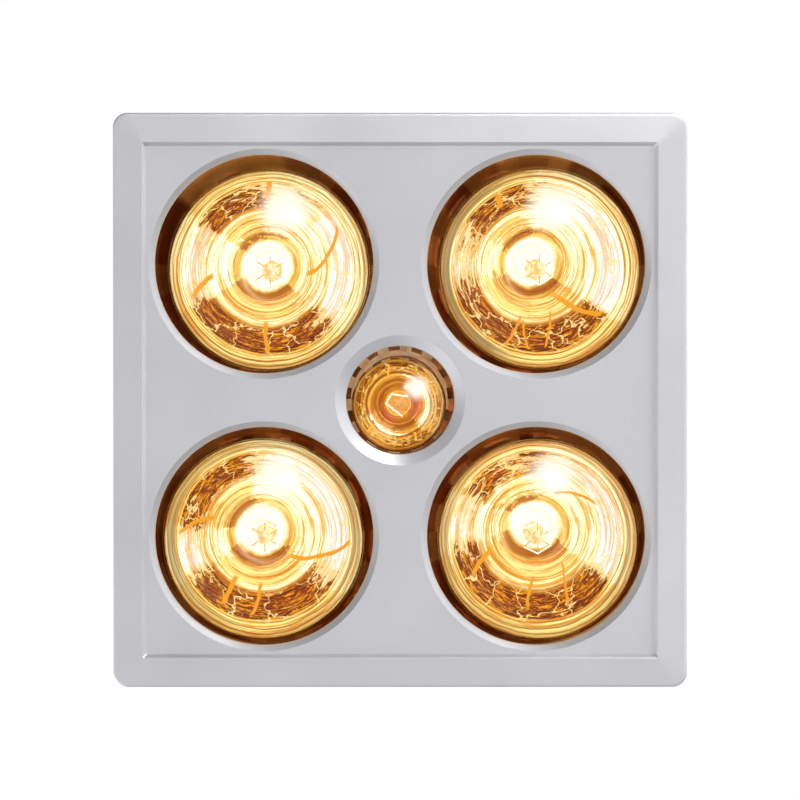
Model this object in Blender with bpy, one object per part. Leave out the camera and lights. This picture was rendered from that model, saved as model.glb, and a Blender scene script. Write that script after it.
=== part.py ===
# Bathroom ceiling heater: four infrared lamps, a centre light and an extraction blower behind a
# square silver fascia. Lengths are metres and +Z is up. The origin is the centre of the ceiling
# cut-out, level with the underside of the ceiling: the fascia hangs below it, the housing is above.

import math

import bmesh
import bpy
from mathutils import Matrix, Vector

# Gaps and overruns shared by all pieces
fit_gap = 0.0003
cut_overrun = 0.003
weld_distance = 0.000001
full_turn = 2 * math.pi

# Fascia
fascia_overhang = 0.0205
fascia_corner_radius = 0.009
fascia_edge_round = 0.0010
fascia_wall = 0.0022
fascia_rim_depth = 0.0118
fascia_ridge_depth = 0.0145
fascia_panel_depth = 0.0122
border_width = 0.0178
step_width = 0.0025
step_corner_radius = 0.0008
lip_rise = 0.0046
heat_ring_gap = 0.0046
heat_chamfer_width = 0.0037
heat_chamfer_depth = 0.0034
light_ring_gap = 0.0040
light_chamfer_width = 0.0066
light_chamfer_depth = 0.0040
lip_wall = 0.0012
hole_web = 0.00748

# Housing of folded sheet
sheet = 0.001
hat_rise = 0.0166
blower_room = 0.004
housing_corner_radius = 0.004
flange_width = 0.008
lid_flange_width = 0.012
lid_inset = 0.0006
lid_screw_pitch = 0.110
lid_screw_hole_radius = 0.0021
vent_slot_length = 0.030
vent_slot_height = 0.004
vent_slot_pitch = 0.009
vent_slot_count = 2
vent_columns = 3
vent_column_pitch = 0.042
vent_top_drop = 0.022

# Reflectors
tray_height = 0.0036
tray_upturn = 0.012
tray_hole_gap = 0.0012
tray_light_hole_gap = 0.0030
foil = 0.0008
cup_mouth_margin = 0.0010
cup_flange_width = 0.0026
cup_height_share = 0.6333
cup_neck_share = 0.40
cup_slot_count = 12
collar_mouth_margin = 0.0015
collar_flange_width = 0.0065
collar_taper = 0.0069
collar_height = 0.036
collar_tooth_count = 18

# Infrared lamp, R125
heat_lamp_radius = 0.0620
heat_lamp_glass_length = 0.150
heat_lamp_proud = 0.0080
heat_filament_radius = 0.0135
heat_filament_height = 0.062
lamp_glass_wall = 0.0010
lamp_neck_radius = 0.0124
lamp_neck_length = 0.0068

# Light lamp, R63
light_lamp_radius = 0.0290
light_lamp_glass_length = 0.077
light_lamp_proud = 0.0040
light_filament_radius = 0.0085
light_filament_height = 0.034

# Screw caps, stems and filaments
cap_radius = 0.0133
cap_length = 0.026
cap_contact_radius = 0.0046
cap_contact_height = 0.004
stem_flare_radius = 0.0095
stem_rod_radius = 0.0030
stem_button_radius = 0.0042
stem_button_height = 0.004
filament_wire_radius = 0.0006
hook_wire_radius = 0.00035
filament_open_angle = math.radians(70)
filament_corners = 6

# Where each lamp hangs in its hole, as the lamps in the photo lie, along X and along Y
lamp_lean_x = (0.0022, 0.0033, -0.0012, 0.0022)
lamp_lean_y = (0.0036, 0.0026, 0.0033, 0.0036)
light_lean = (-0.0008, 0.0032, 0)
lamp_column = (-1, 1, -1, 1)
lamp_row = (-1, -1, 1, 1)

# Lampholders and what carries them
holder_radius = 0.0210
holder_neck_radius = 0.0175
holder_length = 0.037
holder_bore_radius = 0.0142
holder_rim = 0.0015
holder_floor = 0.008
bracket_width = 0.032
bracket_tab = 0.006
bridge_width = 0.040
bridge_fold = 0.010

# Blower, its sizes round the shaft as shares of the pitch of the lamps
fan_centre_share = 0.1506
casing_height = 0.0647
scroll_start_share = 0.3313
scroll_growth_share = 0.1506
scroll_start_angle = math.radians(50)
scroll_points = 26
outlet_inner_share = 0.0482
inlet_share = 0.75
inlet_flange_width = 0.0085
inlet_lip = 0.006
scroll_clearance = 0.005
impeller_lift = 0.0055
impeller_height = 0.044
blade_count = 16
blade_depth = 0.0105
blade_thickness = 0.0009
blade_sweep = math.radians(28)
impeller_plate = 0.0016
impeller_ring_width = 0.003
hub_radius = 0.0080
hub_length = 0.020
shaft_radius = 0.0025

# Motor, on the lid
motor_lift = 0.010
stator_width = 0.050
stator_back = 0.018
stator_front = 0.034
stator_height = 0.016
stator_bore_radius = 0.0128
rotor_radius = 0.0120
window_width = 0.026
window_near = 0.0165
leg_depth = 0.008
coil_width = 0.022
coil_wall = 0.0075
motor_post_pitch = 0.040
motor_post_radius = 0.0030
bearing_radius = 0.0065
bearing_height = 0.007
bearing_bar_width = 0.010
bearing_bar_height = 0.0025
motor_cover_radius = 0.046
motor_cover_height = 0.048
motor_cover_flange = 0.006

# Duct spigot and flap
spigot_radius = 0.0490
spigot_wall = 0.0010
spigot_length = 0.0195
spigot_drop = 0.0515
spigot_plate_margin = 0.0015
spigot_plate_thickness = 0.0015
flap_clearance = 0.0008
flap_thickness = 0.0010
flap_from_wall = 0.0105
flap_arc_steps = 14
flap_knuckle_radius = 0.0022
flap_knuckle_low_share = 0.25
flap_knuckle_high_share = 0.70
flap_pin_radius = 0.0012
outlet_top_margin = 0.009

# Mains connection, on the lid
terminal_centre_x = 0.086
terminal_length = 0.074
terminal_width = 0.060
terminal_height = 0.026
terminal_wall = 0.002
terminal_block_end_gap = 0.005
terminal_block_width = 0.020
terminal_block_height = 0.013
terminal_way_count = 5
terminal_way_radius = 0.0016
gland_radius = 0.0085
gland_nut_radius = 0.0110
gland_bore_radius = 0.0042
gland_length = 0.018
gland_nut_length = 0.008

# Fascia clips
clip_width = 0.014
clip_thickness = 0.0006
clip_foot = 0.011
clip_rise = 0.030
clip_crest_share = 0.62
clip_bend = 0.004
clip_notch_gap = 0.004

# Ceiling clamps
board_thickness = 0.010
clamp_width = 0.080
clamp_sheet = 0.0015
clamp_rise = 0.062
clamp_foot = 0.0165
clamp_slot_low = 0.010
clamp_slot_high = 0.052
clamp_slot_width = 0.0050
clamp_screw_height = 0.050
clamp_screw_radius = 0.0020
clamp_knob_radius = 0.0080
clamp_knob_height = 0.009
clamp_screw_inner = 0.005

# Facets round each kind of turned piece
corner_steps = 3
hole_steps = 40
boss_steps = 20
cup_steps = 24
lamp_steps = 20
holder_steps = 12
casing_steps = 20
small_steps = 10
screw_steps = 6
wire_steps = 5

# Glass outlines from the dome's apex to the neck: heights as shares of the glass length, radii as
# shares of the lamp's radius
heat_glass_height_shares = (0.0, 0.022, 0.075, 0.155, 0.26, 0.37, 0.50, 0.66, 0.78, 0.90)
heat_glass_radius_shares = (0.0, 0.40, 0.71, 0.92, 1.0, 0.965, 0.815, 0.53, 0.35, 0.30)
light_glass_height_shares = (0.0, 0.04, 0.13, 0.25, 0.37, 0.52, 0.72, 0.86)
light_glass_radius_shares = (0.0, 0.45, 0.80, 0.97, 1.0, 0.92, 0.64, 0.46)

# Reflector cup outline from mouth to neck, the same way
cup_height_shares = (0.0, 0.0, 0.20, 0.335, 0.53, 0.76, 1.0)
cup_radius_shares = (0.0, 1.0, 0.985, 0.965, 0.80, 0.43, 0.0)
cup_slot_row = 4
collar_height_shares = (0.0, 0.0, 0.36, 0.76, 1.0)
collar_radius_shares = (1.0, 0.0, 0.0, -0.69, 0.0)
collar_slot_row = 2

# Finishes: colour, roughness, metallic
silver_paint = ((0.56, 0.56, 0.58), 0.38, 0.55)
zinc_sheet = ((0.55, 0.56, 0.57), 0.42, 0.9)
bright_aluminium = ((0.82, 0.80, 0.77), 0.12, 1.0)
clear_glass = ((0.95, 0.90, 0.82), 0.03, 0.0)
cap_brass = ((0.72, 0.58, 0.30), 0.25, 1.0)
porcelain = ((0.88, 0.87, 0.82), 0.30, 0.0)
tungsten = ((1.0, 0.72, 0.35), 0.40, 0.6)
black_plastic = ((0.03, 0.03, 0.03), 0.45, 0.0)
grey_plastic = ((0.55, 0.55, 0.54), 0.50, 0.0)
white_plastic = ((0.85, 0.85, 0.83), 0.45, 0.0)
dark_steel = ((0.22, 0.22, 0.23), 0.45, 0.9)
copper = ((0.72, 0.33, 0.16), 0.35, 0.9)
spring_steel = ((0.50, 0.50, 0.52), 0.25, 1.0)

# Sizes, heights and places worked out from the sizes above
heat_hole_radius = heat_lamp_radius + heat_ring_gap
light_hole_radius = light_lamp_radius + light_ring_gap
heat_mouth_radius = heat_hole_radius + heat_chamfer_width
light_mouth_radius = light_hole_radius + light_chamfer_width
lamp_pitch = math.sqrt(2) * (heat_mouth_radius + hole_web + light_mouth_radius)
cup_mouth_radius = heat_hole_radius + cup_mouth_margin
cup_flange_radius = cup_mouth_radius + cup_flange_width
cup_height = cup_height_share * heat_lamp_glass_length
cup_neck_radius = cup_neck_share * cup_mouth_radius
tray_hole_radius = cup_mouth_radius + tray_hole_gap
collar_mouth_radius = light_hole_radius + collar_mouth_margin
collar_flange_radius = collar_mouth_radius + collar_flange_width
collar_top_radius = collar_mouth_radius - collar_taper
tray_light_hole_radius = collar_mouth_radius + tray_light_hole_gap
housing_side = lamp_pitch + 2 * (cup_flange_radius + sheet + fit_gap)
fascia_side = housing_side + 2 * fascia_overhang
half_housing = housing_side / 2
inner_wall = half_housing - sheet
fascia_back = fascia_wall - fascia_panel_depth
heat_apex = -fascia_panel_depth - heat_lamp_proud
heat_glass_end = heat_apex + heat_lamp_glass_length
light_apex = -fascia_panel_depth - light_lamp_proud
light_glass_end = light_apex + light_lamp_glass_length
cap_start = fit_gap
heat_cap_tip = heat_glass_end + cap_start + cap_length + cap_contact_height
light_cap_tip = light_glass_end + cap_start + cap_length + cap_contact_height
heat_holder_top = heat_cap_tip + fit_gap + holder_floor
light_holder_top = light_cap_tip + fit_gap + holder_floor
bridge_top = light_holder_top + fit_gap + bridge_fold
lamp_stack = heat_holder_top + hat_rise
blower_stack = bridge_top + blower_room + casing_height + sheet + fit_gap
housing_height = max(lamp_stack, blower_stack)
lid_bottom = housing_height + fit_gap
lid_top = lid_bottom + sheet
casing_top = housing_height - sheet - fit_gap
casing_bottom = casing_top - casing_height
impeller_bottom = casing_bottom + impeller_lift
fan_centre_x = -fan_centre_share * lamp_pitch
scroll_start_radius = scroll_start_share * lamp_pitch
scroll_growth = scroll_growth_share * lamp_pitch
outlet_inner_x = outlet_inner_share * lamp_pitch
impeller_radius = scroll_start_radius - scroll_clearance
inlet_radius = inlet_share * impeller_radius
inlet_flange_radius = inlet_radius + inlet_flange_width
spigot_centre_z = housing_height - spigot_drop
spigot_bore_radius = spigot_radius - spigot_wall
flap_radius = spigot_bore_radius - flap_clearance
flap_knuckle_low = flap_knuckle_low_share * flap_radius
flap_knuckle_high = flap_knuckle_high_share * flap_radius
terminal_block_length = terminal_width - 2 * terminal_block_end_gap
motor_base = lid_top + motor_lift
clamp_foot_height = board_thickness + fit_gap
bodies = {}


def clear_scene():
    for item in list(bpy.data.objects):
        bpy.data.objects.remove(item, do_unlink=True)


def make_material(name, finish):
    colour, roughness, metallic = finish
    material = bpy.data.materials.new(name)
    material.use_nodes = True
    shader = material.node_tree.nodes["Principled BSDF"]
    shader.inputs["Base Color"].default_value = (*colour, 1.0)
    shader.inputs["Roughness"].default_value = roughness
    shader.inputs["Metallic"].default_value = metallic
    material.diffuse_color = (*colour, 1.0)
    return material


def add_body(name, place):
    # An empty on the joint's axis that carries the pieces of a moving body
    empty = bpy.data.objects.new(f"{name}_axis", None)
    empty.location = place
    bpy.context.collection.objects.link(empty)
    bodies[name] = empty
    return empty


def add_piece(name, shape, finish, place=(0, 0, 0), body=None, turn=0.0, smooth=True):
    mesh = bpy.data.meshes.new(name)
    bmesh.ops.recalc_face_normals(shape, faces=shape.faces)
    shape.to_mesh(mesh)
    shape.free()
    if smooth:
        mesh.shade_smooth()
        mesh.set_sharp_from_angle(angle=math.radians(32))
    mesh.materials.append(make_material(name, finish))
    piece = bpy.data.objects.new(name, mesh)
    bpy.context.collection.objects.link(piece)
    piece.location = place
    piece.rotation_euler = (0, 0, turn)
    if body:
        piece.parent = bodies[body]
    return piece


def add_operand(piece, shape, operation, label):
    # A hidden shape that is cut from the piece or joined to it, in the piece's own frame
    bmesh.ops.recalc_face_normals(shape, faces=shape.faces)
    mesh = bpy.data.meshes.new(f"{piece.name}_{label}")
    shape.to_mesh(mesh)
    shape.free()
    helper = bpy.data.objects.new(mesh.name, mesh)
    bpy.context.collection.objects.link(helper)
    helper.location = piece.location
    helper.rotation_euler = piece.rotation_euler
    helper.parent = piece.parent
    helper.hide_render = True
    helper.display_type = "WIRE"
    step = piece.modifiers.new(label, "BOOLEAN")
    step.operation = operation
    step.solver = "EXACT"
    step.object = helper
    return step


def cut(piece, shape, label="cut"):
    return add_operand(piece, shape, "DIFFERENCE", label)


def join(piece, shape, label="join"):
    return add_operand(piece, shape, "UNION", label)


def thicken(piece, thickness, offset):
    wall = piece.modifiers.new("wall", "SOLIDIFY")
    wall.thickness = thickness
    wall.offset = offset
    wall.use_even_offset = True
    return wall


def turned(outline, steps, closed=False, shape=None):
    # Turns an outline of (radius, height) points about Z
    shape = shape or bmesh.new()
    points = [shape.verts.new((radius, 0, height)) for radius, height in outline]
    followers = points[1:] + points[:1] if closed else points[1:]
    edges = [shape.edges.new(pair) for pair in zip(points, followers)]
    bmesh.ops.spin(shape, geom=points + edges, cent=(0, 0, 0), axis=(0, 0, 1),
                   dvec=(0, 0, 0), angle=full_turn, steps=steps, use_merge=True)
    bmesh.ops.remove_doubles(shape, verts=shape.verts, dist=weld_distance)
    return shape


def add_turned(shape, outline, steps, place, axis="Z"):
    # Adds a closed turned solid to a shape that may hold others
    extra = turned(outline, steps)
    if axis == "X":
        bmesh.ops.rotate(extra, verts=extra.verts, cent=(0, 0, 0),
                         matrix=Matrix.Rotation(math.pi / 2, 3, "Y"))
    if axis == "Y":
        bmesh.ops.rotate(extra, verts=extra.verts, cent=(0, 0, 0),
                         matrix=Matrix.Rotation(-math.pi / 2, 3, "X"))
    bmesh.ops.translate(extra, verts=extra.verts, vec=Vector(place))
    return add_copy(shape, extra)


def add_copy(shape, extra):
    # Puts one shape into another as a body of its own
    mesh = bpy.data.meshes.new("part_shape")
    extra.to_mesh(mesh)
    extra.free()
    shape.from_mesh(mesh)
    bpy.data.meshes.remove(mesh)
    return shape


def add_rod(shape, radius, low, high, place=(0, 0, 0), steps=small_steps, axis="Z"):
    outline = [(0, low), (radius, low), (radius, high), (0, high)]
    return add_turned(shape, outline, steps, place, axis)


def add_block(shape, low, high):
    # A box between two corners
    low = Vector(low)
    high = Vector(high)
    made = bmesh.ops.create_cube(shape, size=1.0)["verts"]
    bmesh.ops.scale(shape, verts=made, vec=high - low)
    bmesh.ops.translate(shape, verts=made, vec=(low + high) / 2)
    return shape


def square_loop(half, radius, height):
    # Points round a square with rounded corners
    points = []
    for corner in range(4):
        start = corner * math.pi / 2
        centre_x = (half - radius) * (1 if corner in (0, 3) else -1)
        centre_y = (half - radius) * (1 if corner in (0, 1) else -1)
        for step in range(corner_steps + 1):
            angle = start + step * math.pi / 2 / corner_steps
            points.append((centre_x + radius * math.cos(angle),
                           centre_y + radius * math.sin(angle), height))
    return points


def lofted(loops, ends_closed, shape=None):
    # Joins equal loops side by side, and caps the two ends or joins the last loop to the first
    shape = shape or bmesh.new()
    rows = [[shape.verts.new(point) for point in loop] for loop in loops]
    pairs = list(zip(rows, rows[1:]))
    if not ends_closed:
        pairs.append((rows[-1], rows[0]))
    for row, following in pairs:
        count = len(row)
        for place in range(count):
            after = (place + 1) % count
            shape.faces.new((row[place], row[after], following[after], following[place]))
    if ends_closed:
        shape.faces.new(rows[0])
        shape.faces.new(rows[-1])
    return shape


def extruded(outline, low, high, shape=None):
    # Raises a flat outline of (x, y) points between two heights
    shape = shape or bmesh.new()
    face = shape.faces.new([shape.verts.new((x, y, low)) for x, y in outline])
    grown = bmesh.ops.extrude_face_region(shape, geom=[face])
    raised = [item for item in grown["geom"] if isinstance(item, bmesh.types.BMVert)]
    bmesh.ops.translate(shape, verts=raised, vec=(0, 0, high - low))
    return shape


def slot_outline(length, width, steps=wire_steps):
    # A slot with round ends, its length along X
    reach = length / 2 - width / 2
    points = []
    for end, start in ((reach, -math.pi / 2), (-reach, math.pi / 2)):
        for step in range(steps + 1):
            angle = start + step * math.pi / steps
            points.append((end + width / 2 * math.cos(angle), width / 2 * math.sin(angle)))
    return points


def inward(outline, distance):
    # The outline of a wall's inner face, for a profile of (radius, height) points
    moved = []
    for place, point in enumerate(outline):
        before = Vector(outline[max(place - 1, 0)])
        after = Vector(outline[min(place + 1, len(outline) - 1)])
        along = (after - before).normalized()
        moved.append((max(point[0] - along.y * distance, 0), point[1] + along.x * distance))
    moved[0] = (0, outline[0][1] + distance)
    return moved


def lamp_place(number):
    return (lamp_column[number] * lamp_pitch / 2 + lamp_lean_x[number],
            lamp_row[number] * lamp_pitch / 2 + lamp_lean_y[number], 0)


def hole_place(number):
    return (lamp_column[number] * lamp_pitch / 2, lamp_row[number] * lamp_pitch / 2, 0)


# Fascia

def lip_cutter(shape, radius, chamfer_width, chamfer_depth, place):
    front = -fascia_panel_depth
    back = fascia_back + lip_rise
    slope = chamfer_width / chamfer_depth
    outline = [(0, front - cut_overrun), (radius + chamfer_width + cut_overrun * slope, front - cut_overrun),
               (radius, front + chamfer_depth), (radius, back + cut_overrun), (0, back + cut_overrun)]
    return add_turned(shape, outline, hole_steps, place)


def make_fascia():
    half = fascia_side / 2
    ridge = half - border_width
    panel = ridge - step_width
    wall = fascia_wall
    loops = [
        square_loop(panel, step_corner_radius, -fascia_panel_depth),
        square_loop(ridge, step_corner_radius, -fascia_ridge_depth),
        square_loop(half - fascia_edge_round, fascia_corner_radius, -fascia_rim_depth - fascia_edge_round / 2),
        square_loop(half, fascia_corner_radius, -fascia_rim_depth + fascia_edge_round / 2),
        square_loop(half, fascia_corner_radius, 0),
        square_loop(half - wall, fascia_corner_radius - wall, 0),
        square_loop(half - wall, fascia_corner_radius - wall, wall - fascia_rim_depth),
        square_loop(ridge, step_corner_radius, wall - fascia_ridge_depth),
        square_loop(panel, step_corner_radius, fascia_back),
    ]
    fascia = add_piece("fascia_panel", lofted(loops, True), silver_paint, body="fascia")
    bosses = bmesh.new()
    base = -fascia_panel_depth + fascia_wall / 2
    back = fascia_back + lip_rise
    for number in range(4):
        outer = heat_hole_radius + heat_chamfer_width + lip_wall
        add_rod(bosses, outer, base, back, hole_place(number), boss_steps)
    add_rod(bosses, light_hole_radius + light_chamfer_width + lip_wall, base, back, steps=boss_steps)
    join(fascia, bosses, "lips")
    holes = bmesh.new()
    for number in range(4):
        lip_cutter(holes, heat_hole_radius, heat_chamfer_width, heat_chamfer_depth, hole_place(number))
    lip_cutter(holes, light_hole_radius, light_chamfer_width, light_chamfer_depth, (0, 0, 0))
    cut(fascia, holes, "holes")


def make_fascia_clips():
    # Four bent leaves that stand on the fascia's back and press outward on the housing wall
    wall_face = inner_wall - fit_gap
    foot = fascia_back + fit_gap
    crest = foot + clip_rise * clip_crest_share
    tip = foot + clip_rise
    outer = [(wall_face - clip_bend - clip_foot, foot), (wall_face - clip_bend, foot), (wall_face, crest),
             (wall_face - clip_bend, tip)]
    inner = [(x - clip_thickness, z + clip_thickness) for x, z in outer]
    inner[0] = (outer[0][0], foot + clip_thickness)
    inner[3] = (outer[3][0] - clip_thickness, tip)
    inner[2] = (outer[2][0] - clip_thickness, crest)
    outline = outer + inner[::-1]
    for number in range(4):
        leaf = extruded(outline, -clip_width / 2, clip_width / 2)
        bmesh.ops.rotate(leaf, verts=leaf.verts, cent=(0, 0, 0), matrix=Matrix.Rotation(math.pi / 2, 3, "X"))
        add_piece(f"fascia_clip_{number + 1}", leaf, spring_steel, body="fascia", turn=number * math.pi / 2,
                  smooth=False)


# Housing

def lid_screw_places():
    reach = half_housing - lid_flange_width / 2
    offset = lid_screw_pitch / 2
    return ([(side * reach, along * offset, 0) for side in (-1, 1) for along in (-1, 1)]
            + [(along * offset * 2, side * reach, 0) for side in (-1, 1) for along in (-1, 1)])


def screw_holes():
    shape = bmesh.new()
    for place in lid_screw_places():
        add_rod(shape, lid_screw_hole_radius, housing_height - sheet - cut_overrun,
                lid_top + cut_overrun, place, screw_steps)
    return shape


def clamp_places():
    return [(side, 0) for side in (-1, 1)]


def make_housing_shell():
    half = half_housing
    radius = housing_corner_radius
    top_open = half - lid_flange_width
    loops = [
        square_loop(top_open, radius, housing_height),
        square_loop(half, radius, housing_height),
        square_loop(half, radius, 0),
        square_loop(half + flange_width, radius, 0),
        square_loop(half + flange_width, radius, -sheet),
        square_loop(inner_wall, radius - sheet, -sheet),
        square_loop(inner_wall, radius - sheet, housing_height - sheet),
        square_loop(top_open, radius, housing_height - sheet),
    ]
    shell = add_piece("housing_shell", lofted(loops, False), zinc_sheet, smooth=False)
    openings = screw_holes()
    outer_x = fan_centre_x + scroll_start_radius + scroll_growth - sheet
    add_block(openings, (outlet_inner_x + sheet, inner_wall - cut_overrun, casing_bottom + sheet),
              (outer_x, half + cut_overrun, housing_height - outlet_top_margin))
    for side, along in clamp_places():
        add_rod(openings, clamp_screw_radius + fit_gap, -cut_overrun, cut_overrun,
                (side * (half - sheet / 2), along, clamp_screw_height), axis="X")
    for column in range(vent_columns):
        for row in range(vent_slot_count):
            slot = extruded(slot_outline(vent_slot_length, vent_slot_height, 2), -cut_overrun, cut_overrun)
            bmesh.ops.rotate(slot, verts=slot.verts, cent=(0, 0, 0),
                             matrix=Matrix.Rotation(math.pi / 2, 3, "X"))
            bmesh.ops.translate(slot, verts=slot.verts, vec=(
                (column - (vent_columns - 1) / 2) * vent_column_pitch, -half + sheet / 2,
                housing_height - vent_top_drop - row * vent_slot_pitch))
            add_copy(openings, slot)
    cut(shell, openings, "openings")


def make_housing_lid():
    half = half_housing - lid_inset
    loops = [square_loop(half, housing_corner_radius, lid_bottom), square_loop(half, housing_corner_radius, lid_top)]
    lid = add_piece("housing_lid", lofted(loops, True), zinc_sheet, smooth=False)
    join(lid, holder_hats(), "hats")
    holes = screw_holes()
    add_rod(holes, hub_radius, lid_bottom - cut_overrun, lid_top + cut_overrun, (fan_centre_x, 0, 0), holder_steps)
    add_rod(holes, gland_radius, lid_bottom - cut_overrun, lid_top + cut_overrun,
            (terminal_centre_x - terminal_length / 4, terminal_width / 3, 0), holder_steps)
    cut(lid, holes, "holes")


# Reflectors

def make_reflector_tray():
    half = inner_wall - fit_gap
    radius = housing_corner_radius - sheet
    top = tray_height + sheet
    rim = tray_height + tray_upturn
    loops = [
        square_loop(half, radius, tray_height),
        square_loop(half, radius, rim),
        square_loop(half - sheet, radius, rim),
        square_loop(half - sheet, radius, top),
    ]
    tray = add_piece("reflector_tray", lofted(loops, True), bright_aluminium, smooth=False)
    holes = bmesh.new()
    for number in range(4):
        add_rod(holes, tray_hole_radius, tray_height - cut_overrun, top + cut_overrun,
                hole_place(number), cup_steps)
    add_rod(holes, tray_light_hole_radius, tray_height - cut_overrun, top + cut_overrun, steps=cup_steps)
    notch_depth = clip_bend + clip_thickness + clip_notch_gap
    notch_half = clip_width / 2 + clip_notch_gap
    for along in (-1, 1):
        low_x, high_x = sorted((along * (half - notch_depth), along * (half + cut_overrun)))
        add_block(holes, (low_x, -notch_half, tray_height - cut_overrun), (high_x, notch_half, rim + cut_overrun))
        add_block(holes, (-notch_half, low_x, tray_height - cut_overrun), (notch_half, high_x, rim + cut_overrun))
    cut(tray, holes, "holes")


def revolved_sheet(radii, heights, steps, cut_away):
    # A turned surface with some of its cells left open
    shape = bmesh.new()
    rows = []
    for radius, height in zip(radii, heights):
        rows.append([shape.verts.new((radius * math.cos(full_turn * step / steps),
                                      radius * math.sin(full_turn * step / steps), height))
                     for step in range(steps)])
    for level, (row, following) in enumerate(zip(rows, rows[1:])):
        for step in range(steps):
            if cut_away(level, step):
                continue
            after = (step + 1) % steps
            shape.faces.new((row[step], row[after], following[after], following[step]))
    return shape


def make_reflector_cups():
    bottom = tray_height - fit_gap - foil
    heights = [bottom + share * cup_height for share in cup_height_shares]
    spread = cup_mouth_radius - cup_neck_radius
    radii = [cup_neck_radius + share * spread for share in cup_radius_shares]
    radii[0] = cup_flange_radius
    spacing = cup_steps // cup_slot_count

    def is_slot(level, step):
        return level == cup_slot_row and step % spacing == 0

    for number in range(4):
        shape = revolved_sheet(radii, heights, cup_steps, is_slot)
        cup = add_piece(f"reflector_cup_{number + 1}", shape, bright_aluminium, hole_place(number))
        thicken(cup, foil, 1)


def make_centre_reflector():
    bottom = tray_height - fit_gap - foil
    heights = [bottom + share * collar_height for share in collar_height_shares]
    spread = collar_flange_radius - collar_mouth_radius
    radii = [collar_mouth_radius + share * spread for share in collar_radius_shares]
    radii[-1] = collar_top_radius

    def is_gap(level, step):
        return level == collar_slot_row and step % 2 == 0

    shape = revolved_sheet(radii, heights, 2 * collar_tooth_count, is_gap)
    collar = add_piece("centre_reflector", shape, bright_aluminium)
    thicken(collar, foil, 1)


# Lamps

def glass_outline(apex, length, radius, height_shares, radius_shares):
    outline = [(radius * wide, apex + length * high) for high, wide in zip(height_shares, radius_shares)]
    end = apex + length
    outline.append((lamp_neck_radius, end - lamp_neck_length))
    outline.append((lamp_neck_radius, end))
    return outline


def make_glass(name, body, glass):
    inner = inward(glass, lamp_glass_wall)[::2]
    inner[-1] = (lamp_neck_radius - lamp_glass_wall, glass[-1][1])
    add_piece(name, turned(glass + inner[::-1], lamp_steps), clear_glass, body=body)


def make_cap(name, body, glass_end):
    start = glass_end + cap_start
    skirt = glass_end - lamp_neck_length + fit_gap
    bore = lamp_neck_radius + fit_gap
    shoulder = start + cap_length - cap_contact_height
    tip = start + cap_length + cap_contact_height
    outline = [(0, start), (bore, start), (bore, skirt), (cap_radius, skirt), (cap_radius, shoulder),
               (cap_contact_radius, start + cap_length), (cap_contact_radius, tip), (0, tip)]
    add_piece(name, turned(outline, holder_steps), cap_brass, body=body)


def make_stem(name, body, glass_end, filament_height, filament_radius):
    top = glass_end - fit_gap
    flare = top - lamp_neck_length
    pinch = flare - 2 * lamp_neck_length
    tip = filament_height + stem_button_height
    outline = [(0, filament_height), (stem_button_radius, filament_height), (stem_button_radius, tip),
               (stem_rod_radius, tip + stem_button_height), (stem_rod_radius, pinch), (stem_flare_radius / 2, flare),
               (stem_flare_radius, top), (0, top)]
    stem = add_piece(name, turned(outline, screw_steps), clear_glass, body=body)
    hooks = bmesh.new()
    middle = filament_height + stem_button_height / 2
    for corner in filament_points(filament_radius, middle)[1:-1]:
        direction = Vector((corner[0], corner[1], 0)).normalized()
        start = direction * stem_rod_radius
        end = direction * (filament_radius - filament_wire_radius - fit_gap)
        lift = Vector((0, 0, middle))
        add_wire(hooks, [start + lift, end + lift], hook_wire_radius, 4)
    join(stem, hooks, "hooks")


def filament_points(radius, height):
    # Corners of an open polygon
    turn = full_turn - filament_open_angle
    start = filament_open_angle / 2
    return [(radius * math.cos(start + turn * step / (filament_corners - 1)),
             radius * math.sin(start + turn * step / (filament_corners - 1)), height)
            for step in range(filament_corners)]


def add_wire(shape, points, radius, steps):
    # A round wire along points, mitred at its corners
    rows = []
    for place, point in enumerate(points):
        before = Vector(points[max(place - 1, 0)])
        after = Vector(points[min(place + 1, len(points) - 1)])
        along = (after - before).normalized()
        side = along.cross(Vector((0, 0, 1)))
        if side.length < weld_distance:
            side = Vector((1, 0, 0))
        side.normalize()
        up = side.cross(along)
        rows.append([shape.verts.new(Vector(point) + radius * (math.cos(full_turn * step / steps) * side
                                                              + math.sin(full_turn * step / steps) * up))
                     for step in range(steps)])
    for row, following in zip(rows, rows[1:]):
        for step in range(steps):
            after = (step + 1) % steps
            shape.faces.new((row[step], row[after], following[after], following[step]))
    shape.faces.new(rows[0])
    shape.faces.new(rows[-1])
    return shape


def make_filament(name, body, radius, height):
    corners = filament_points(radius, height + stem_button_height / 2)
    add_piece(name, add_wire(bmesh.new(), corners, filament_wire_radius, wire_steps), tungsten, body=body)


def make_lamps():
    heat_outline = glass_outline(heat_apex, heat_lamp_glass_length, heat_lamp_radius,
                                 heat_glass_height_shares, heat_glass_radius_shares)
    for number in range(4):
        body = f"heat_lamp_{number + 1}"
        make_glass(f"heat_lamp_glass_{number + 1}", body, heat_outline)
        make_cap(f"heat_lamp_cap_{number + 1}", body, heat_glass_end)
        make_stem(f"heat_lamp_stem_{number + 1}", body, heat_glass_end, heat_apex + heat_filament_height,
                  heat_filament_radius)
        make_filament(f"heat_lamp_filament_{number + 1}", body, heat_filament_radius,
                      heat_apex + heat_filament_height)
    light_outline = glass_outline(light_apex, light_lamp_glass_length, light_lamp_radius,
                                  light_glass_height_shares, light_glass_radius_shares)
    make_glass("light_lamp_glass", "light_lamp", light_outline)
    make_cap("light_lamp_cap", "light_lamp", light_glass_end)
    make_stem("light_lamp_stem", "light_lamp", light_glass_end, light_apex + light_filament_height,
              light_filament_radius)
    make_filament("light_lamp_filament", "light_lamp", light_filament_radius, light_apex + light_filament_height)


# Lampholders

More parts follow.
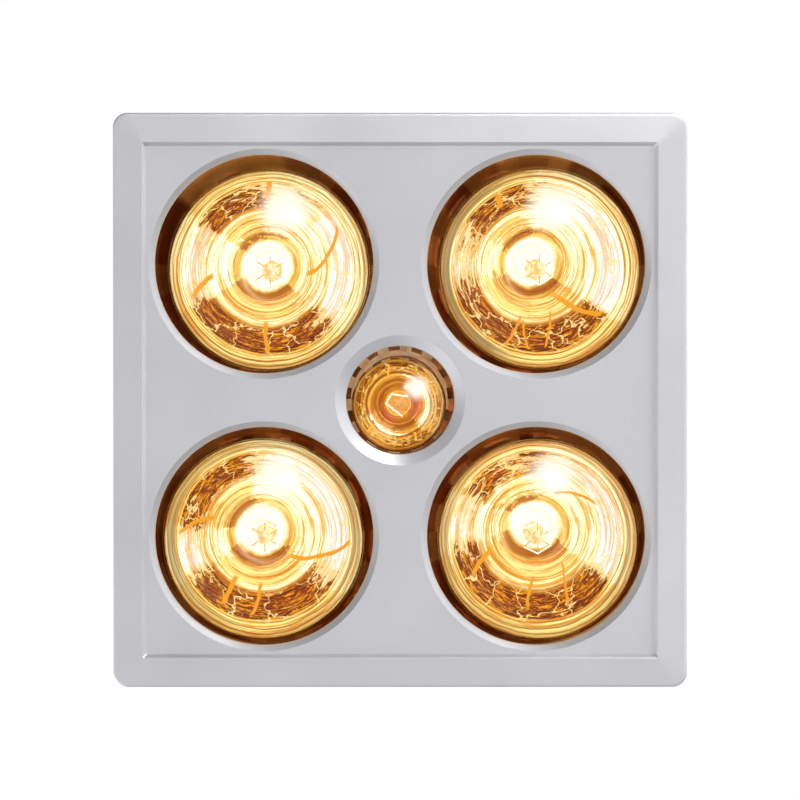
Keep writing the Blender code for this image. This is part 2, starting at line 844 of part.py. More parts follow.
def make_holder(name, place, cap_tip):
    top = cap_tip + fit_gap + holder_floor
    bottom = top - holder_length
    waist = top - holder_floor - cap_contact_height
    outline = [(0, cap_tip + fit_gap), (holder_bore_radius, cap_tip + fit_gap), (holder_bore_radius, bottom),
               (holder_radius - holder_rim, bottom), (holder_radius, bottom + holder_rim),
               (holder_radius, waist - holder_rim), (holder_neck_radius, waist + holder_rim),
               (holder_neck_radius, top), (0, top)]
    add_piece(name, turned(outline, holder_steps), porcelain, place)


def make_lampholders():
    for number in range(4):
        make_holder(f"lampholder_{number + 1}", lamp_place(number), heat_cap_tip)
    make_holder("light_lampholder", light_lean, light_cap_tip)


def holder_hats():
    # Hat sections welded to the lid, one over each heat lampholder
    low = heat_holder_top + fit_gap
    top = lid_bottom + sheet / 2
    tab = lid_bottom - sheet
    half = bracket_width / 2
    outline = [(-half - bracket_tab, top), (-half - bracket_tab, tab), (-half, tab), (-half, low),
               (half, low), (half, tab), (half + bracket_tab, tab), (half + bracket_tab, top),
               (half - sheet, top), (half - sheet, low + sheet), (-half + sheet, low + sheet), (-half + sheet, top)]
    shape = bmesh.new()
    for number in range(4):
        hat = extruded(outline, -half, half)
        bmesh.ops.rotate(hat, verts=hat.verts, cent=(0, 0, 0), matrix=Matrix.Rotation(math.pi / 2, 3, "X"))
        bmesh.ops.translate(hat, verts=hat.verts, vec=lamp_place(number))
        add_copy(shape, hat)
    return shape


def make_centre_bridge():
    # A channel from wall to wall that carries the centre lampholder
    low = light_holder_top + fit_gap
    half = bridge_width / 2
    reach = inner_wall - fit_gap
    outline = [(-half, low), (half, low), (half, low + bridge_fold), (half - sheet, low + bridge_fold),
               (half - sheet, low + sheet), (-half + sheet, low + sheet), (-half + sheet, low + bridge_fold),
               (-half, low + bridge_fold)]
    shape = extruded(outline, -reach, reach)
    bmesh.ops.rotate(shape, verts=shape.verts, cent=(0, 0, 0), matrix=Matrix.Rotation(math.pi / 2, 3, "X"))
    add_piece("centre_bridge", shape, zinc_sheet, smooth=False)


# Blower

def scroll_outline():
    # The scroll grows steadily round the impeller, then runs straight to the outlet
    points = []
    travel = full_turn - scroll_start_angle
    for step in range(scroll_points + 1):
        share = step / scroll_points
        angle = scroll_start_angle + travel * share
        radius = scroll_start_radius + scroll_growth * share
        points.append((radius * math.cos(angle), radius * math.sin(angle)))
    reach = inner_wall - fit_gap
    inner_x = outlet_inner_x - fan_centre_x
    points.append((scroll_start_radius + scroll_growth, reach))
    points.append((inner_x, reach))
    return points


def make_scroll_casing():
    outline = scroll_outline()
    shape = bmesh.new()
    low = [shape.verts.new((x, y, casing_bottom)) for x, y in outline]
    high = [shape.verts.new((x, y, casing_top)) for x, y in outline]
    shape.faces.new(low)
    outlet = len(outline) - 2
    for place in range(len(outline)):
        if place == outlet:
            continue
        after = (place + 1) % len(outline)
        shape.faces.new((low[place], low[after], high[after], high[place]))
    casing = add_piece("scroll_casing", shape, zinc_sheet, (fan_centre_x, 0, 0))
    thicken(casing, sheet, -1)
    mouth = bmesh.new()
    add_rod(mouth, inlet_radius + inlet_lip / 2, casing_bottom - cut_overrun, casing_bottom + cut_overrun,
            steps=casing_steps)
    cut(casing, mouth, "mouth")


def make_inlet_ring():
    throat = inlet_radius
    outer = inlet_flange_radius
    low = casing_bottom - fit_gap - sheet
    high = casing_bottom - fit_gap
    neck = inlet_radius + inlet_lip / 2 - fit_gap
    outline = [(outer, low), (outer, high), (neck, high), (neck, high + inlet_lip / 2),
               (throat, high + inlet_lip / 2), (throat, high - sheet / 2), (throat + sheet, low)]
    add_piece("inlet_ring", turned(outline, casing_steps, closed=True), black_plastic, (fan_centre_x, 0, 0))


def make_impeller():
    top = impeller_bottom + impeller_height
    bore = shaft_radius + fit_gap
    plate = top - impeller_plate
    hub = top - hub_length
    outline = [(bore, hub), (hub_radius, hub), (hub_radius, plate), (impeller_radius, plate),
               (impeller_radius, top), (bore, top)]
    wheel = add_piece("impeller", turned(outline, casing_steps, closed=True), black_plastic, body="fan")
    inner = impeller_radius - impeller_ring_width
    ring = turned([(inner, impeller_bottom), (impeller_radius, impeller_bottom),
                   (impeller_radius, impeller_bottom + impeller_plate), (inner, impeller_bottom + impeller_plate)],
                  casing_steps, closed=True)
    blades = bmesh.new()
    near = impeller_radius - blade_depth
    far = impeller_radius - impeller_ring_width / 4
    for number in range(blade_count):
        turn = full_turn * number / blade_count
        start = Vector((near, 0, 0))
        end = Vector((far * math.cos(blade_sweep / 4), far * math.sin(blade_sweep / 4), 0))
        side = (end - start).normalized().cross(Vector((0, 0, 1))) * blade_thickness / 2
        corners = [(point.x, point.y) for point in (start - side, end - side, end + side, start + side)]
        blade = extruded(corners, impeller_bottom + impeller_plate / 2, plate + impeller_plate / 2)
        bmesh.ops.rotate(blade, verts=blade.verts, cent=(0, 0, 0), matrix=Matrix.Rotation(turn, 3, "Z"))
        add_copy(blades, blade)
    join(wheel, blades, "blades")
    join(wheel, ring, "ring")


def make_rotor_shaft():
    low = impeller_bottom + impeller_height - hub_length
    rotor_low = motor_base + fit_gap
    rotor_high = motor_base + stator_height - fit_gap
    top = motor_base + stator_height + motor_lift + fit_gap
    outline = [(0, low), (shaft_radius, low), (shaft_radius, rotor_low), (rotor_radius, rotor_low),
               (rotor_radius, rotor_high), (shaft_radius, rotor_high), (shaft_radius, top), (0, top)]
    add_piece("rotor_shaft", turned(outline, holder_steps), dark_steel, body="fan")


def make_motor_stator():
    shape = bmesh.new()
    half = stator_width / 2
    add_block(shape, (-half, -stator_back, motor_base), (half, stator_front, motor_base + stator_height))
    stator = add_piece("motor_stator", shape, dark_steel, (fan_centre_x, 0, 0), smooth=False)
    openings = bmesh.new()
    low = motor_base - cut_overrun
    high = motor_base + stator_height + cut_overrun
    add_rod(openings, stator_bore_radius, low, high, steps=small_steps * 2)
    add_block(openings, (-window_width / 2, window_near, low),
              (window_width / 2, stator_front - leg_depth, high))
    cut(stator, openings, "openings")


def make_motor_coil():
    near = window_near + fit_gap
    far = stator_front + coil_wall
    low = motor_base - coil_wall
    high = motor_base + stator_height + coil_wall
    half = coil_width / 2
    shape = bmesh.new()
    add_block(shape, (-half, near, low), (half, far, high))
    coil = add_piece("motor_coil", shape, copper, (fan_centre_x, 0, 0), smooth=False)
    leg = bmesh.new()
    add_block(leg, (-half - cut_overrun, stator_front - leg_depth - fit_gap, motor_base - fit_gap),
              (half + cut_overrun, stator_front + fit_gap, motor_base + stator_height + fit_gap))
    cut(coil, leg, "leg")


def make_bearing(name, bar, foot, boss_low):
    # A bearing bar across the motor on two posts
    half = motor_post_pitch / 2
    shape = bmesh.new()
    add_block(shape, (-half, -bearing_bar_width / 2, bar), (half, bearing_bar_width / 2, bar + bearing_bar_height))
    bearing = add_piece(name, shape, zinc_sheet, (fan_centre_x, 0, 0))
    posts = bmesh.new()
    for side in (-1, 1):
        add_rod(posts, motor_post_radius, foot, bar + bearing_bar_height, (side * half, 0, 0))
    add_rod(posts, bearing_radius, boss_low, bar + bearing_bar_height)
    join(bearing, posts, "posts")
    bore = bmesh.new()
    add_rod(bore, shaft_radius + fit_gap, lid_top, bar + bearing_height)
    cut(bearing, bore, "bore")


def make_bearings():
    # The lower bar stands on the lid under the stator, the upper one stands on the stator
    lower = motor_base - fit_gap - bearing_bar_height
    upper = motor_base + stator_height + motor_lift - bearing_bar_height
    make_bearing("lower_bearing", lower, lid_top + fit_gap, lower - bearing_height / 2)
    make_bearing("upper_bearing", upper, motor_base + stator_height + fit_gap, upper - bearing_height / 2)


def make_motor_cover():
    base = lid_top + fit_gap
    top = base + motor_cover_height
    outer = motor_cover_radius
    inner = outer - foil
    rim = outer + motor_cover_flange
    edge = 4 * foil
    outline = [(0, top), (outer - edge, top), (outer, top - edge), (outer, base + foil), (rim, base + foil),
               (rim, base), (inner, base), (inner, top - edge), (outer - edge, top - foil), (0, top - foil)]
    add_piece("motor_cover", turned(outline, casing_steps), zinc_sheet, (fan_centre_x, motor_cover_shift(), 0))


def motor_cover_shift():
    # The cover is centred on the motor, which reaches further to the coil's side
    return (stator_front + coil_wall - stator_back) / 4


# Duct outlet

def spigot_centre_x():
    return (outlet_inner_x + fan_centre_x + scroll_start_radius + scroll_growth) / 2


def make_duct_spigot():
    wall = half_housing + fit_gap
    plate = spigot_radius + spigot_plate_margin
    thick = spigot_plate_thickness
    centre = (spigot_centre_x(), wall, spigot_centre_z)
    shape = bmesh.new()
    add_block(shape, (-plate, 0, -plate), (plate, thick, plate))
    spigot = add_piece("duct_spigot", shape, grey_plastic, centre)
    tube = bmesh.new()
    add_rod(tube, spigot_radius, thick / 2, spigot_length, steps=hole_steps // 2, axis="Y")
    join(spigot, tube, "tube")
    bore = bmesh.new()
    add_rod(bore, spigot_bore_radius, -cut_overrun, spigot_length + cut_overrun, steps=hole_steps // 2, axis="Y")
    pin_hole = bmesh.new()
    add_rod(pin_hole, flap_pin_radius + fit_gap, -spigot_radius - cut_overrun, spigot_radius + cut_overrun,
            (0, flap_from_wall - fit_gap, 0))
    cut(spigot, bore, "bore")
    cut(spigot, pin_hole, "pin_hole")


def flap_place():
    return (spigot_centre_x(), half_housing + flap_from_wall, spigot_centre_z)


def make_backdraft_flap(name, side):
    # Half a disc that swings about the upright pin, with a knuckle in its own half of the pin's length
    inner = flap_knuckle_radius + fit_gap
    tab = flap_knuckle_radius / 2 + flap_pin_radius / 2
    start = math.asin(inner / flap_radius)
    outline = []
    for step in range(flap_arc_steps + 1):
        angle = start + (math.pi - 2 * start) * step / flap_arc_steps
        outline.append((side * flap_radius * math.sin(angle), side * flap_radius * math.cos(angle)))
    low, high = sorted((side * flap_knuckle_low, side * flap_knuckle_high))
    ends = sorted((low, high), reverse=side < 0)
    outline += [(side * inner, ends[0]), (side * tab, ends[0]), (side * tab, ends[1]), (side * inner, ends[1])]
    leaf = extruded(outline, -flap_thickness / 2, flap_thickness / 2)
    bmesh.ops.rotate(leaf, verts=leaf.verts, cent=(0, 0, 0), matrix=Matrix.Rotation(math.pi / 2, 3, "X"))
    flap = add_piece(name, leaf, grey_plastic, body=name)
    knuckle = bmesh.new()
    add_rod(knuckle, flap_knuckle_radius, low, high)
    join(flap, knuckle, "knuckle")
    bore = bmesh.new()
    add_rod(bore, flap_pin_radius + fit_gap, low - cut_overrun, high + cut_overrun)
    cut(flap, bore, "bore")


def make_flap_pin():
    shape = bmesh.new()
    add_rod(shape, flap_pin_radius, -spigot_radius, spigot_radius)
    add_piece("flap_pin", shape, spring_steel, flap_place())


# Mains connection

def make_terminal_box():
    base = lid_top + fit_gap
    half_x = terminal_length / 2
    half_y = terminal_width / 2
    shape = bmesh.new()
    add_block(shape, (-half_x, -half_y, base), (half_x, half_y, base + terminal_height))
    box = add_piece("terminal_box", shape, white_plastic, (terminal_centre_x, 0, 0), smooth=False)
    hollow = bmesh.new()
    wall = terminal_wall
    add_block(hollow, (wall - half_x, wall - half_y, base + wall),
              (half_x - wall, half_y - wall, base + terminal_height + cut_overrun))
    cut(box, hollow, "hollow")
    holes = bmesh.new()
    add_rod(holes, gland_radius + fit_gap, -cut_overrun, cut_overrun,
            (half_x - wall / 2, 0, base + terminal_height / 2), holder_steps, "X")
    add_rod(holes, gland_radius, base - cut_overrun, base + cut_overrun,
            (-terminal_length / 4, terminal_width / 3, 0), holder_steps)
    cut(box, holes, "holes")


def make_terminal_cover():
    low = lid_top + fit_gap + terminal_height + fit_gap
    half_x = terminal_length / 2
    half_y = terminal_width / 2
    inset = terminal_wall + fit_gap
    shape = bmesh.new()
    add_block(shape, (-half_x, -half_y, low), (half_x, half_y, low + terminal_wall))
    cover = add_piece("terminal_cover", shape, white_plastic, (terminal_centre_x, 0, 0), smooth=False)
    lip = bmesh.new()
    add_block(lip, (inset - half_x, inset - half_y, low - terminal_wall),
              (half_x - inset, half_y - inset, low + terminal_wall / 2))
    join(cover, lip, "lip")


def make_terminal_block():
    base = lid_top + fit_gap + terminal_wall + fit_gap
    half_x = terminal_block_width / 2
    half_y = terminal_block_length / 2
    shape = bmesh.new()
    add_block(shape, (-half_x, -half_y, base), (half_x, half_y, base + terminal_block_height))
    block = add_piece("terminal_block", shape, grey_plastic, (terminal_centre_x, 0, 0), smooth=False)
    ways = bmesh.new()
    pitch = terminal_block_length / terminal_way_count
    for way in range(terminal_way_count):
        place_y = (way - (terminal_way_count - 1) / 2) * pitch
        for side in (-1, 1):
            add_rod(ways, terminal_way_radius, base + terminal_block_height / 2,
                    base + terminal_block_height + cut_overrun, (side * half_x / 2, place_y, 0), screw_steps)
    cut(block, ways, "ways")


def make_cable_gland():
    wall_face = terminal_centre_x + terminal_length / 2
    inside = -terminal_wall - gland_nut_length / 2
    outline = [(gland_bore_radius, inside), (gland_radius, inside), (gland_radius, fit_gap),
               (gland_nut_radius, fit_gap), (gland_nut_radius, gland_nut_length),
               (gland_radius, gland_nut_length + fit_gap), (gland_radius, gland_length),
               (gland_bore_radius, gland_length)]
    shape = turned(outline, small_steps, closed=True)
    bmesh.ops.rotate(shape, verts=shape.verts, cent=(0, 0, 0), matrix=Matrix.Rotation(math.pi / 2, 3, "Y"))
    add_piece("cable_gland", shape, black_plastic,
              (wall_face, 0, lid_top + fit_gap + terminal_height / 2), smooth=False)


# Ceiling clamps

def make_clamps():
    # Angle brackets that slide on the housing's sides and press the ceiling board from above
    face = half_housing + fit_gap
    foot = clamp_foot_height
    outline = [(0, foot), (clamp_foot, foot), (clamp_foot, foot + clamp_sheet), (clamp_sheet, foot + clamp_sheet),
               (clamp_sheet, foot + clamp_rise), (0, foot + clamp_rise)]
    slot_middle = foot + (clamp_slot_low + clamp_slot_high) / 2
    for number, (side, along) in enumerate(clamp_places()):
        shape = extruded(outline, -clamp_width / 2, clamp_width / 2)
        bmesh.ops.rotate(shape, verts=shape.verts, cent=(0, 0, 0), matrix=Matrix.Rotation(math.pi / 2, 3, "X"))
        turn = 0 if side > 0 else math.pi
        name = f"clamp_bracket_{number + 1}"
        add_body(f"clamp_{number + 1}", (side * face, along, 0))
        bracket = add_piece(name, shape, zinc_sheet, body=f"clamp_{number + 1}", turn=turn, smooth=False)
        slot = extruded(slot_outline(clamp_slot_high - clamp_slot_low + clamp_slot_width, clamp_slot_width),
                        -cut_overrun, cut_overrun)
        bmesh.ops.rotate(slot, verts=slot.verts, cent=(0, 0, 0), matrix=Matrix.Rotation(math.pi / 2, 3, "Y"))
        bmesh.ops.translate(slot, verts=slot.verts, vec=(clamp_sheet / 2, 0, slot_middle))
        cut(bracket, slot, "slot")


def make_clamp_screws():
    head = clamp_sheet + 2 * fit_gap
    outline = [(0, -sheet - clamp_screw_inner), (clamp_screw_radius, -sheet - clamp_screw_inner),
               (clamp_screw_radius, head), (clamp_knob_radius, head),
               (clamp_knob_radius, head + clamp_knob_height / 2),
               (clamp_knob_radius / 2, head + clamp_knob_height), (0, head + clamp_knob_height)]
    for number, (side, along) in enumerate(clamp_places()):
        shape = turned(outline, small_steps)
        bmesh.ops.rotate(shape, verts=shape.verts, cent=(0, 0, 0),
                         matrix=Matrix.Rotation(side * math.pi / 2, 3, "Y"))
        add_piece(f"clamp_screw_{number + 1}", shape, black_plastic, (side * half_housing, along, clamp_screw_height))


def make_bodies():
    add_body("fascia", (0, 0, 0))
    for number in range(4):
        add_body(f"heat_lamp_{number + 1}", lamp_place(number))
    add_body("light_lamp", light_lean)
    add_body("fan", (fan_centre_x, 0, 0))
    add_body("backdraft_flap_left", flap_place())
    add_body("backdraft_flap_right", flap_place())


clear_scene()
make_bodies()
make_fascia()
make_fascia_clips()
make_housing_shell()
make_housing_lid()
make_reflector_tray()
make_reflector_cups()
make_centre_reflector()
make_lamps()
make_lampholders()
make_centre_bridge()
make_scroll_casing()
make_inlet_ring()
make_impeller()
make_rotor_shaft()
make_motor_stator()
make_motor_coil()
make_bearings()
make_motor_cover()
make_duct_spigot()
make_backdraft_flap("backdraft_flap_left", -1)
make_backdraft_flap("backdraft_flap_right", 1)
make_flap_pin()
make_terminal_box()
make_terminal_cover()
make_terminal_block()
make_cable_gland()
make_clamps()
make_clamp_screws()
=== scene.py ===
import math
import random

import bmesh
import bpy
from mathutils import Matrix, Vector


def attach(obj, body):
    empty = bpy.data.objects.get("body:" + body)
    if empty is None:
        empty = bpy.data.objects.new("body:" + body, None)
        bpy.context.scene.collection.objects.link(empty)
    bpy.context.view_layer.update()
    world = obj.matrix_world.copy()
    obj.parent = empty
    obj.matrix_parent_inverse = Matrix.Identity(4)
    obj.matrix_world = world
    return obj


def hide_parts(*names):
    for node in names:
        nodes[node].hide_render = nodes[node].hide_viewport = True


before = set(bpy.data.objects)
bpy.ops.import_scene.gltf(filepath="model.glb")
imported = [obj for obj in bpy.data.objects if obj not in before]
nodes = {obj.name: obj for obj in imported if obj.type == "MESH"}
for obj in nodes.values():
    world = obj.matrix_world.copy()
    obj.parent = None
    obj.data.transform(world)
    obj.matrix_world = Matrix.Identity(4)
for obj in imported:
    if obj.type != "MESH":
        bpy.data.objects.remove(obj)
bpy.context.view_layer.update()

turn = 2 * math.pi
onAxis = 1e-7  # a smaller radius is a point on the axis
chance = random.Random(7)

# heights and places that several pieces share, in metres
heatApex, heatRadius = -0.0202, 0.0620
lightApex, lightRadius = -0.0162, 0.0290
holePlaces = [(-0.083, -0.083), (0.083, -0.083), (-0.083, 0.083), (0.083, 0.083)]
lampPlaces = [(-0.0808, -0.0794), (0.0863, -0.0804), (-0.0842, 0.0863), (0.0852, 0.0866)]
lightPlace = (-0.0008, 0.0032)
lidTop = 0.1863


# mesh helpers

def linkObject(name, data):
    made = bpy.data.objects.new(name, data)
    bpy.context.collection.objects.link(made)
    return made


def meshObject(name, shape, materials=()):
    mesh = bpy.data.meshes.new(name)
    shape.to_mesh(mesh)
    shape.free()
    for material in materials:
        mesh.materials.append(material)
    return linkObject(name, mesh)


def addPiece(name, shape, materials, body, replaced, place=(0, 0, 0), smooth=35):
    # makes an object from a bmesh, puts it in place and hangs it on a body of the frame
    bmesh.ops.recalc_face_normals(shape, faces=shape.faces)
    piece = meshObject(name, shape, materials)
    piece.data.shade_smooth()
    piece.data.set_sharp_from_angle(angle=math.radians(smooth))
    piece.location = place
    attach(piece, body)
    if replaced:
        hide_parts(*replaced)
    return piece


def circles(shape, outline, steps, centre=(0, 0)):
    # a ring of vertices for each (radius, height) of an outline
    angles = [turn * step / steps for step in range(steps)]
    return [[shape.verts.new((centre[0] + radius * math.cos(angle), centre[1] + radius * math.sin(angle), height))
             for angle in angles] for radius, height in outline]


def bridge(shape, rows, isOpen=lambda level, place: False):
    # faces between neighbouring rings, apart from where isOpen leaves an opening
    for level, (row, following) in enumerate(zip(rows, rows[1:])):
        for place in range(len(row)):
            after = (place + 1) % len(row)
            if not isOpen(level, place):
                shape.faces.new((row[place], row[after], following[after], following[place]))


def turnedShape(outline, steps, shape=None, kinds=None):
    # turns an outline of (radius, height) about Z; kinds gives a material number for each span
    shape = shape or bmesh.new()
    rows = [circles(shape, [point], steps)[0] if point[0] > onAxis else [shape.verts.new((0, 0, point[1]))]
            for point in outline]
    for span, (low, high) in enumerate(zip(rows, rows[1:])):
        for step in range(steps):
            after = (step + 1) % steps
            corners = [low[step % len(low)], low[after % len(low)], high[after % len(high)], high[step % len(high)]]
            unique = list(dict.fromkeys(corners))
            if len(unique) > 2:
                shape.faces.new(unique).material_index = kinds[span] if kinds else 0
    return shape


def smoothOutline(points, spans):
    # a finer outline through the same points
    finer = []
    for place in range(len(points) - 1):
        a, b, c, d = (Vector(points[min(max(place + offset, 0), len(points) - 1)]) for offset in (-1, 0, 1, 2))
        for step in range(spans):
            t = step / spans
            point = 0.5 * (2 * b + (c - a) * t + (2 * a - 5 * b + 4 * c - d) * t * t
                           + (3 * b - a - 3 * c + d) * t * t * t)
            finer.append((max(point.x, 0.0), point.y))
    finer.append(tuple(points[-1]))
    return finer


def squareRing(shape, half, radius, height, steps=10):
    # a square with rounded corners, steps to each corner
    points = []
    for corner, (x, y) in enumerate(((1, 1), (-1, 1), (-1, -1), (1, -1))):
        for step in range(steps + 1):
            angle = (corner + step / steps) * math.pi / 2
            points.append(((half - radius) * x + radius * math.cos(angle),
                           (half - radius) * y + radius * math.sin(angle), height))
    return [shape.verts.new(point) for point in points]


def edgesOf(shape, row):
    return [shape.edges.get(pair) or shape.edges.new(pair) for pair in zip(row, row[1:] + row[:1])]


def alongAt(points, place):
    # which way a line of points runs at one of them
    before, after = Vector(points[max(place - 1, 0)]), Vector(points[min(place + 1, len(points) - 1)])
    return (after - before).normalized()


def wireThrough(shape, points, radius, steps):
    # a round wire along points, closed at both ends
    rows, side = [], None
    for place, point in enumerate(points):
        along = alongAt(points, place)
        if side is None:
            side = along.orthogonal().normalized()
        side = (side - along * side.dot(along)).normalized()
        up = along.cross(side)
        rows.append([shape.verts.new(Vector(point) + radius * (math.cos(turn * step / steps) * side
                                                              + math.sin(turn * step / steps) * up))
                     for step in range(steps)])
    bridge(shape, rows)
    shape.faces.new(rows[0])
    shape.faces.new(rows[-1])
    return shape


def roundEdges(piece, width, angle=35):
    # small rounding on the edges of a CAD piece or a new one
    weld = piece.modifiers.new("weld", "WELD")
    weld.merge_threshold = 0.00001
    bevel = piece.modifiers.new("edges", "BEVEL")
    bevel.width = width
    bevel.segments = 2
    bevel.limit_method = "ANGLE"
    bevel.angle_limit = math.radians(angle)
    bevel.harden_normals = True


def addWall(piece, thickness, offset):
    # -1 puts the wall inside the drawn surface and 1 outside it, clear of the lamp that it surrounds
    wall = piece.modifiers.new("wall", "SOLIDIFY")
    wall.thickness = thickness
    wall.offset = offset
    wall.use_even_offset = True


# node helpers

def feed(tree, node, values):
    # wires a node's inputs to other nodes' outputs, or sets their values; colours are given without alpha
    for key, value in values.items():
        socket = node.inputs[key]
        if isinstance(value, bpy.types.NodeSocket):
            tree.links.new(value, socket)
        else:
            socket.default_value = (*value, 1) if socket.type == "RGBA" else value


def newNode(tree, kind, inputs=None, **settings):
    made = tree.nodes.new(kind)
    for key, value in settings.items():
        setattr(made, key, value)
    feed(tree, made, inputs or {})
    return made


def calc(tree, operation, first, second=0.0, third=0.0, clamp=False):
    inputs = {0: first, 1: second, 2: third}
    return newNode(tree, "ShaderNodeMath", inputs, operation=operation, use_clamp=clamp).outputs[0]


def times(tree, first, second):
    return calc(tree, "MULTIPLY", first, second)


def timesPlus(tree, first, second, third):
    return calc(tree, "MULTIPLY_ADD", first, second, third)


def vectorCalc(tree, operation, first, second=(0, 0, 0)):
    # LENGTH and DISTANCE give a number, the others a vector
    inputs = {0: first, 3 if operation == "SCALE" else 1: second}
    made = newNode(tree, "ShaderNodeVectorMath", inputs, operation=operation)
    return made.outputs["Value" if operation in ("LENGTH", "DISTANCE") else "Vector"]


def combine(tree, x, y, z):
    return newNode(tree, "ShaderNodeCombineXYZ", {0: x, 1: y, 2: z}).outputs[0]


def axesOf(tree, vector):
    return newNode(tree, "ShaderNodeSeparateXYZ", {0: vector}).outputs


def shareOfTurn(tree, vector):
    # 0 to 1 round the Z axis
    x, y, z = axesOf(tree, vector)
    return timesPlus(tree, calc(tree, "ARCTAN2", y, x), 1 / turn, 0.5)


def between(tree, value, low, high, start=0.0, end=1.0):
    inputs = {0: value, 1: low, 2: high, 3: start, 4: end}
    return newNode(tree, "ShaderNodeMapRange", inputs, interpolation_type="SMOOTHSTEP").outputs[0]


def noiseOf(tree, vector, scale, detail=3.0, roughness=0.5, distortion=0.0, output="Fac"):
    inputs = {"Vector": vector, "Scale": scale, "Detail": detail, "Roughness": roughness, "Distortion": distortion}
    return newNode(tree, "ShaderNodeTexNoise", inputs).outputs[output]


def rampOf(tree, factor, stops, interpolation="LINEAR"):
    # stops are (position, grey) or (position, red, green, blue)
    made = newNode(tree, "ShaderNodeValToRGB", {"Fac": factor})
    made.color_ramp.interpolation = interpolation
    points = made.color_ramp.elements
    for place, (position, *colour) in enumerate(stops):
        point = points[place] if place < 2 else points.new(position)
        point.position = position
        point.color = (*(colour * 3)[:3], 1)
    return made.outputs["Color"]


def mixed(tree, factor, first, second, blend="MIX"):
    made = newNode(tree, "ShaderNodeMix", data_type="RGBA", blend_type=blend)
    used = [place for place, socket in enumerate(made.inputs) if socket.enabled]
    feed(tree, made, dict(zip(used, (factor, first, second))))
    return [socket for socket in made.outputs if socket.enabled][0]


def bumpOf(tree, height, strength, distance):
    inputs = {"Height": height, "Strength": strength, "Distance": distance}
    return newNode(tree, "ShaderNodeBump", inputs).outputs["Normal"]


def startMaterial(name):
    material = bpy.data.materials.new(name)
    material.use_nodes = True
    tree = material.node_tree
    return material, tree, tree.nodes.new("ShaderNodeTexCoord").outputs["Object"]


def finish(material, looks):
    tree = material.node_tree
    feed(tree, tree.nodes["Principled BSDF"], looks)
    return material


def sheetFinish(name, dark, light, metallic, rough, grain, grainBump=0.04, mottle=35.0):
    # a finish with broad mottling and fine grain: paint, plastic, plain metal
    material, tree, where = startMaterial(name)
    broad, fine = noiseOf(tree, where, mottle), noiseOf(tree, where, grain, 2.0)
    both = timesPlus(tree, fine, 0.5, times(tree, broad, 0.5))
    return finish(material, {"Base Color": rampOf(tree, both, [(0.36, *dark), (0.64, *light)]), "Metallic": metallic,
                             "Roughness": timesPlus(tree, broad, 0.16, rough - 0.08),
                             "Normal": bumpOf(tree, fine, grainBump, 0.0003)})


def zincFinish(name, dark, light, rough):
    # hot-dipped sheet with its spangle
    material, tree, where = startMaterial(name)
    cell = newNode(tree, "ShaderNodeTexVoronoi", {"Vector": where, "Scale": 110.0, "Randomness": 1.0})
    tint = newNode(tree, "ShaderNodeSeparateColor", {0: cell.outputs["Color"]}).outputs[0]
    feather = noiseOf(tree, where, 420.0, 4.0, 0.6, 1.2)
    both = timesPlus(tree, tint, 0.65, times(tree, feather, 0.35))
    return finish(material, {"Base Color": rampOf(tree, both, [(0.1, *dark), (0.9, *light)]), "Metallic": 0.92,
                             "Roughness": timesPlus(tree, tint, 0.14, rough),
                             "Normal": bumpOf(tree, both, 0.05, 0.0003)})


def brushedFinish(name, dark, light, rough, stretch, metallic=1.0, fine=700.0):
    # metal with fine lines; stretch is small along the lines
    material, tree, where = startMaterial(name)
    along = newNode(tree, "ShaderNodeMapping", {"Vector": where, "Scale": stretch}).outputs[0]
    lines, broad = noiseOf(tree, along, fine, 3.0, 0.6), noiseOf(tree, where, 45.0)
    both = timesPlus(tree, lines, 0.6, times(tree, broad, 0.4))
    return finish(material, {"Base Color": rampOf(tree, both, [(0.3, *dark), (0.7, *light)]), "Metallic": metallic,
                             "Roughness": timesPlus(tree, lines, 0.18, rough - 0.05),
                             "Normal": bumpOf(tree, lines, 0.06, 0.0002)})


silverPaint = sheetFinish("silverPaint", (0.545, 0.545, 0.562), (0.605, 0.605, 0.622), 0.70, 0.38, 1500.0, 0.06, 14.0)
zinc = zincFinish("zinc", (0.32, 0.33, 0.35), (0.50, 0.51, 0.53), 0.40)
foilMetal = brushedFinish("foilMetal", (0.72, 0.70, 0.66), (0.86, 0.84, 0.80), 0.20, (1, 1, 8))
porcelain = sheetFinish("porcelain", (0.78, 0.76, 0.70), (0.90, 0.89, 0.85), 0.0, 0.22, 500.0, 0.02)
blackPlastic = sheetFinish("blackPlastic", (0.018, 0.018, 0.019), (0.040, 0.040, 0.042), 0.0, 0.45, 1800.0, 0.12)
greyPlastic = sheetFinish("greyPlastic", (0.46, 0.46, 0.45), (0.56, 0.56, 0.55), 0.0, 0.48, 1600.0, 0.10)
whitePlastic = sheetFinish("whitePlastic", (0.76, 0.76, 0.73), (0.86, 0.86, 0.84), 0.0, 0.42, 1600.0, 0.08)
springSteel = brushedFinish("springSteel", (0.42, 0.42, 0.44), (0.62, 0.62, 0.64), 0.26, (6, 1, 1))
turnedSteel = brushedFinish("turnedSteel", (0.30, 0.30, 0.31), (0.48, 0.48, 0.50), 0.32, (1, 1, 10))
laminated = brushedFinish("laminated", (0.10, 0.10, 0.11), (0.30, 0.30, 0.31), 0.45, (0.1, 0.1, 3.0), 0.9, 1400.0)
copperWire = brushedFinish("copperWire", (0.45, 0.16, 0.06), (0.85, 0.42, 0.20), 0.30, (0.1, 0.1, 2.0), 0.7, 1200.0)
capBrass = brushedFinish("capBrass", (0.52, 0.40, 0.20), (0.78, 0.64, 0.36), 0.24, (1, 1, 6))
screwSteel = brushedFinish("screwSteel", (0.45, 0.45, 0.47), (0.70, 0.70, 0.72), 0.25, (1, 1, 5))
silvered = brushedFinish("silvered", (0.60, 0.60, 0.62), (0.78, 0.78, 0.80), 0.32, (1, 1, 2))
print("materials ready")


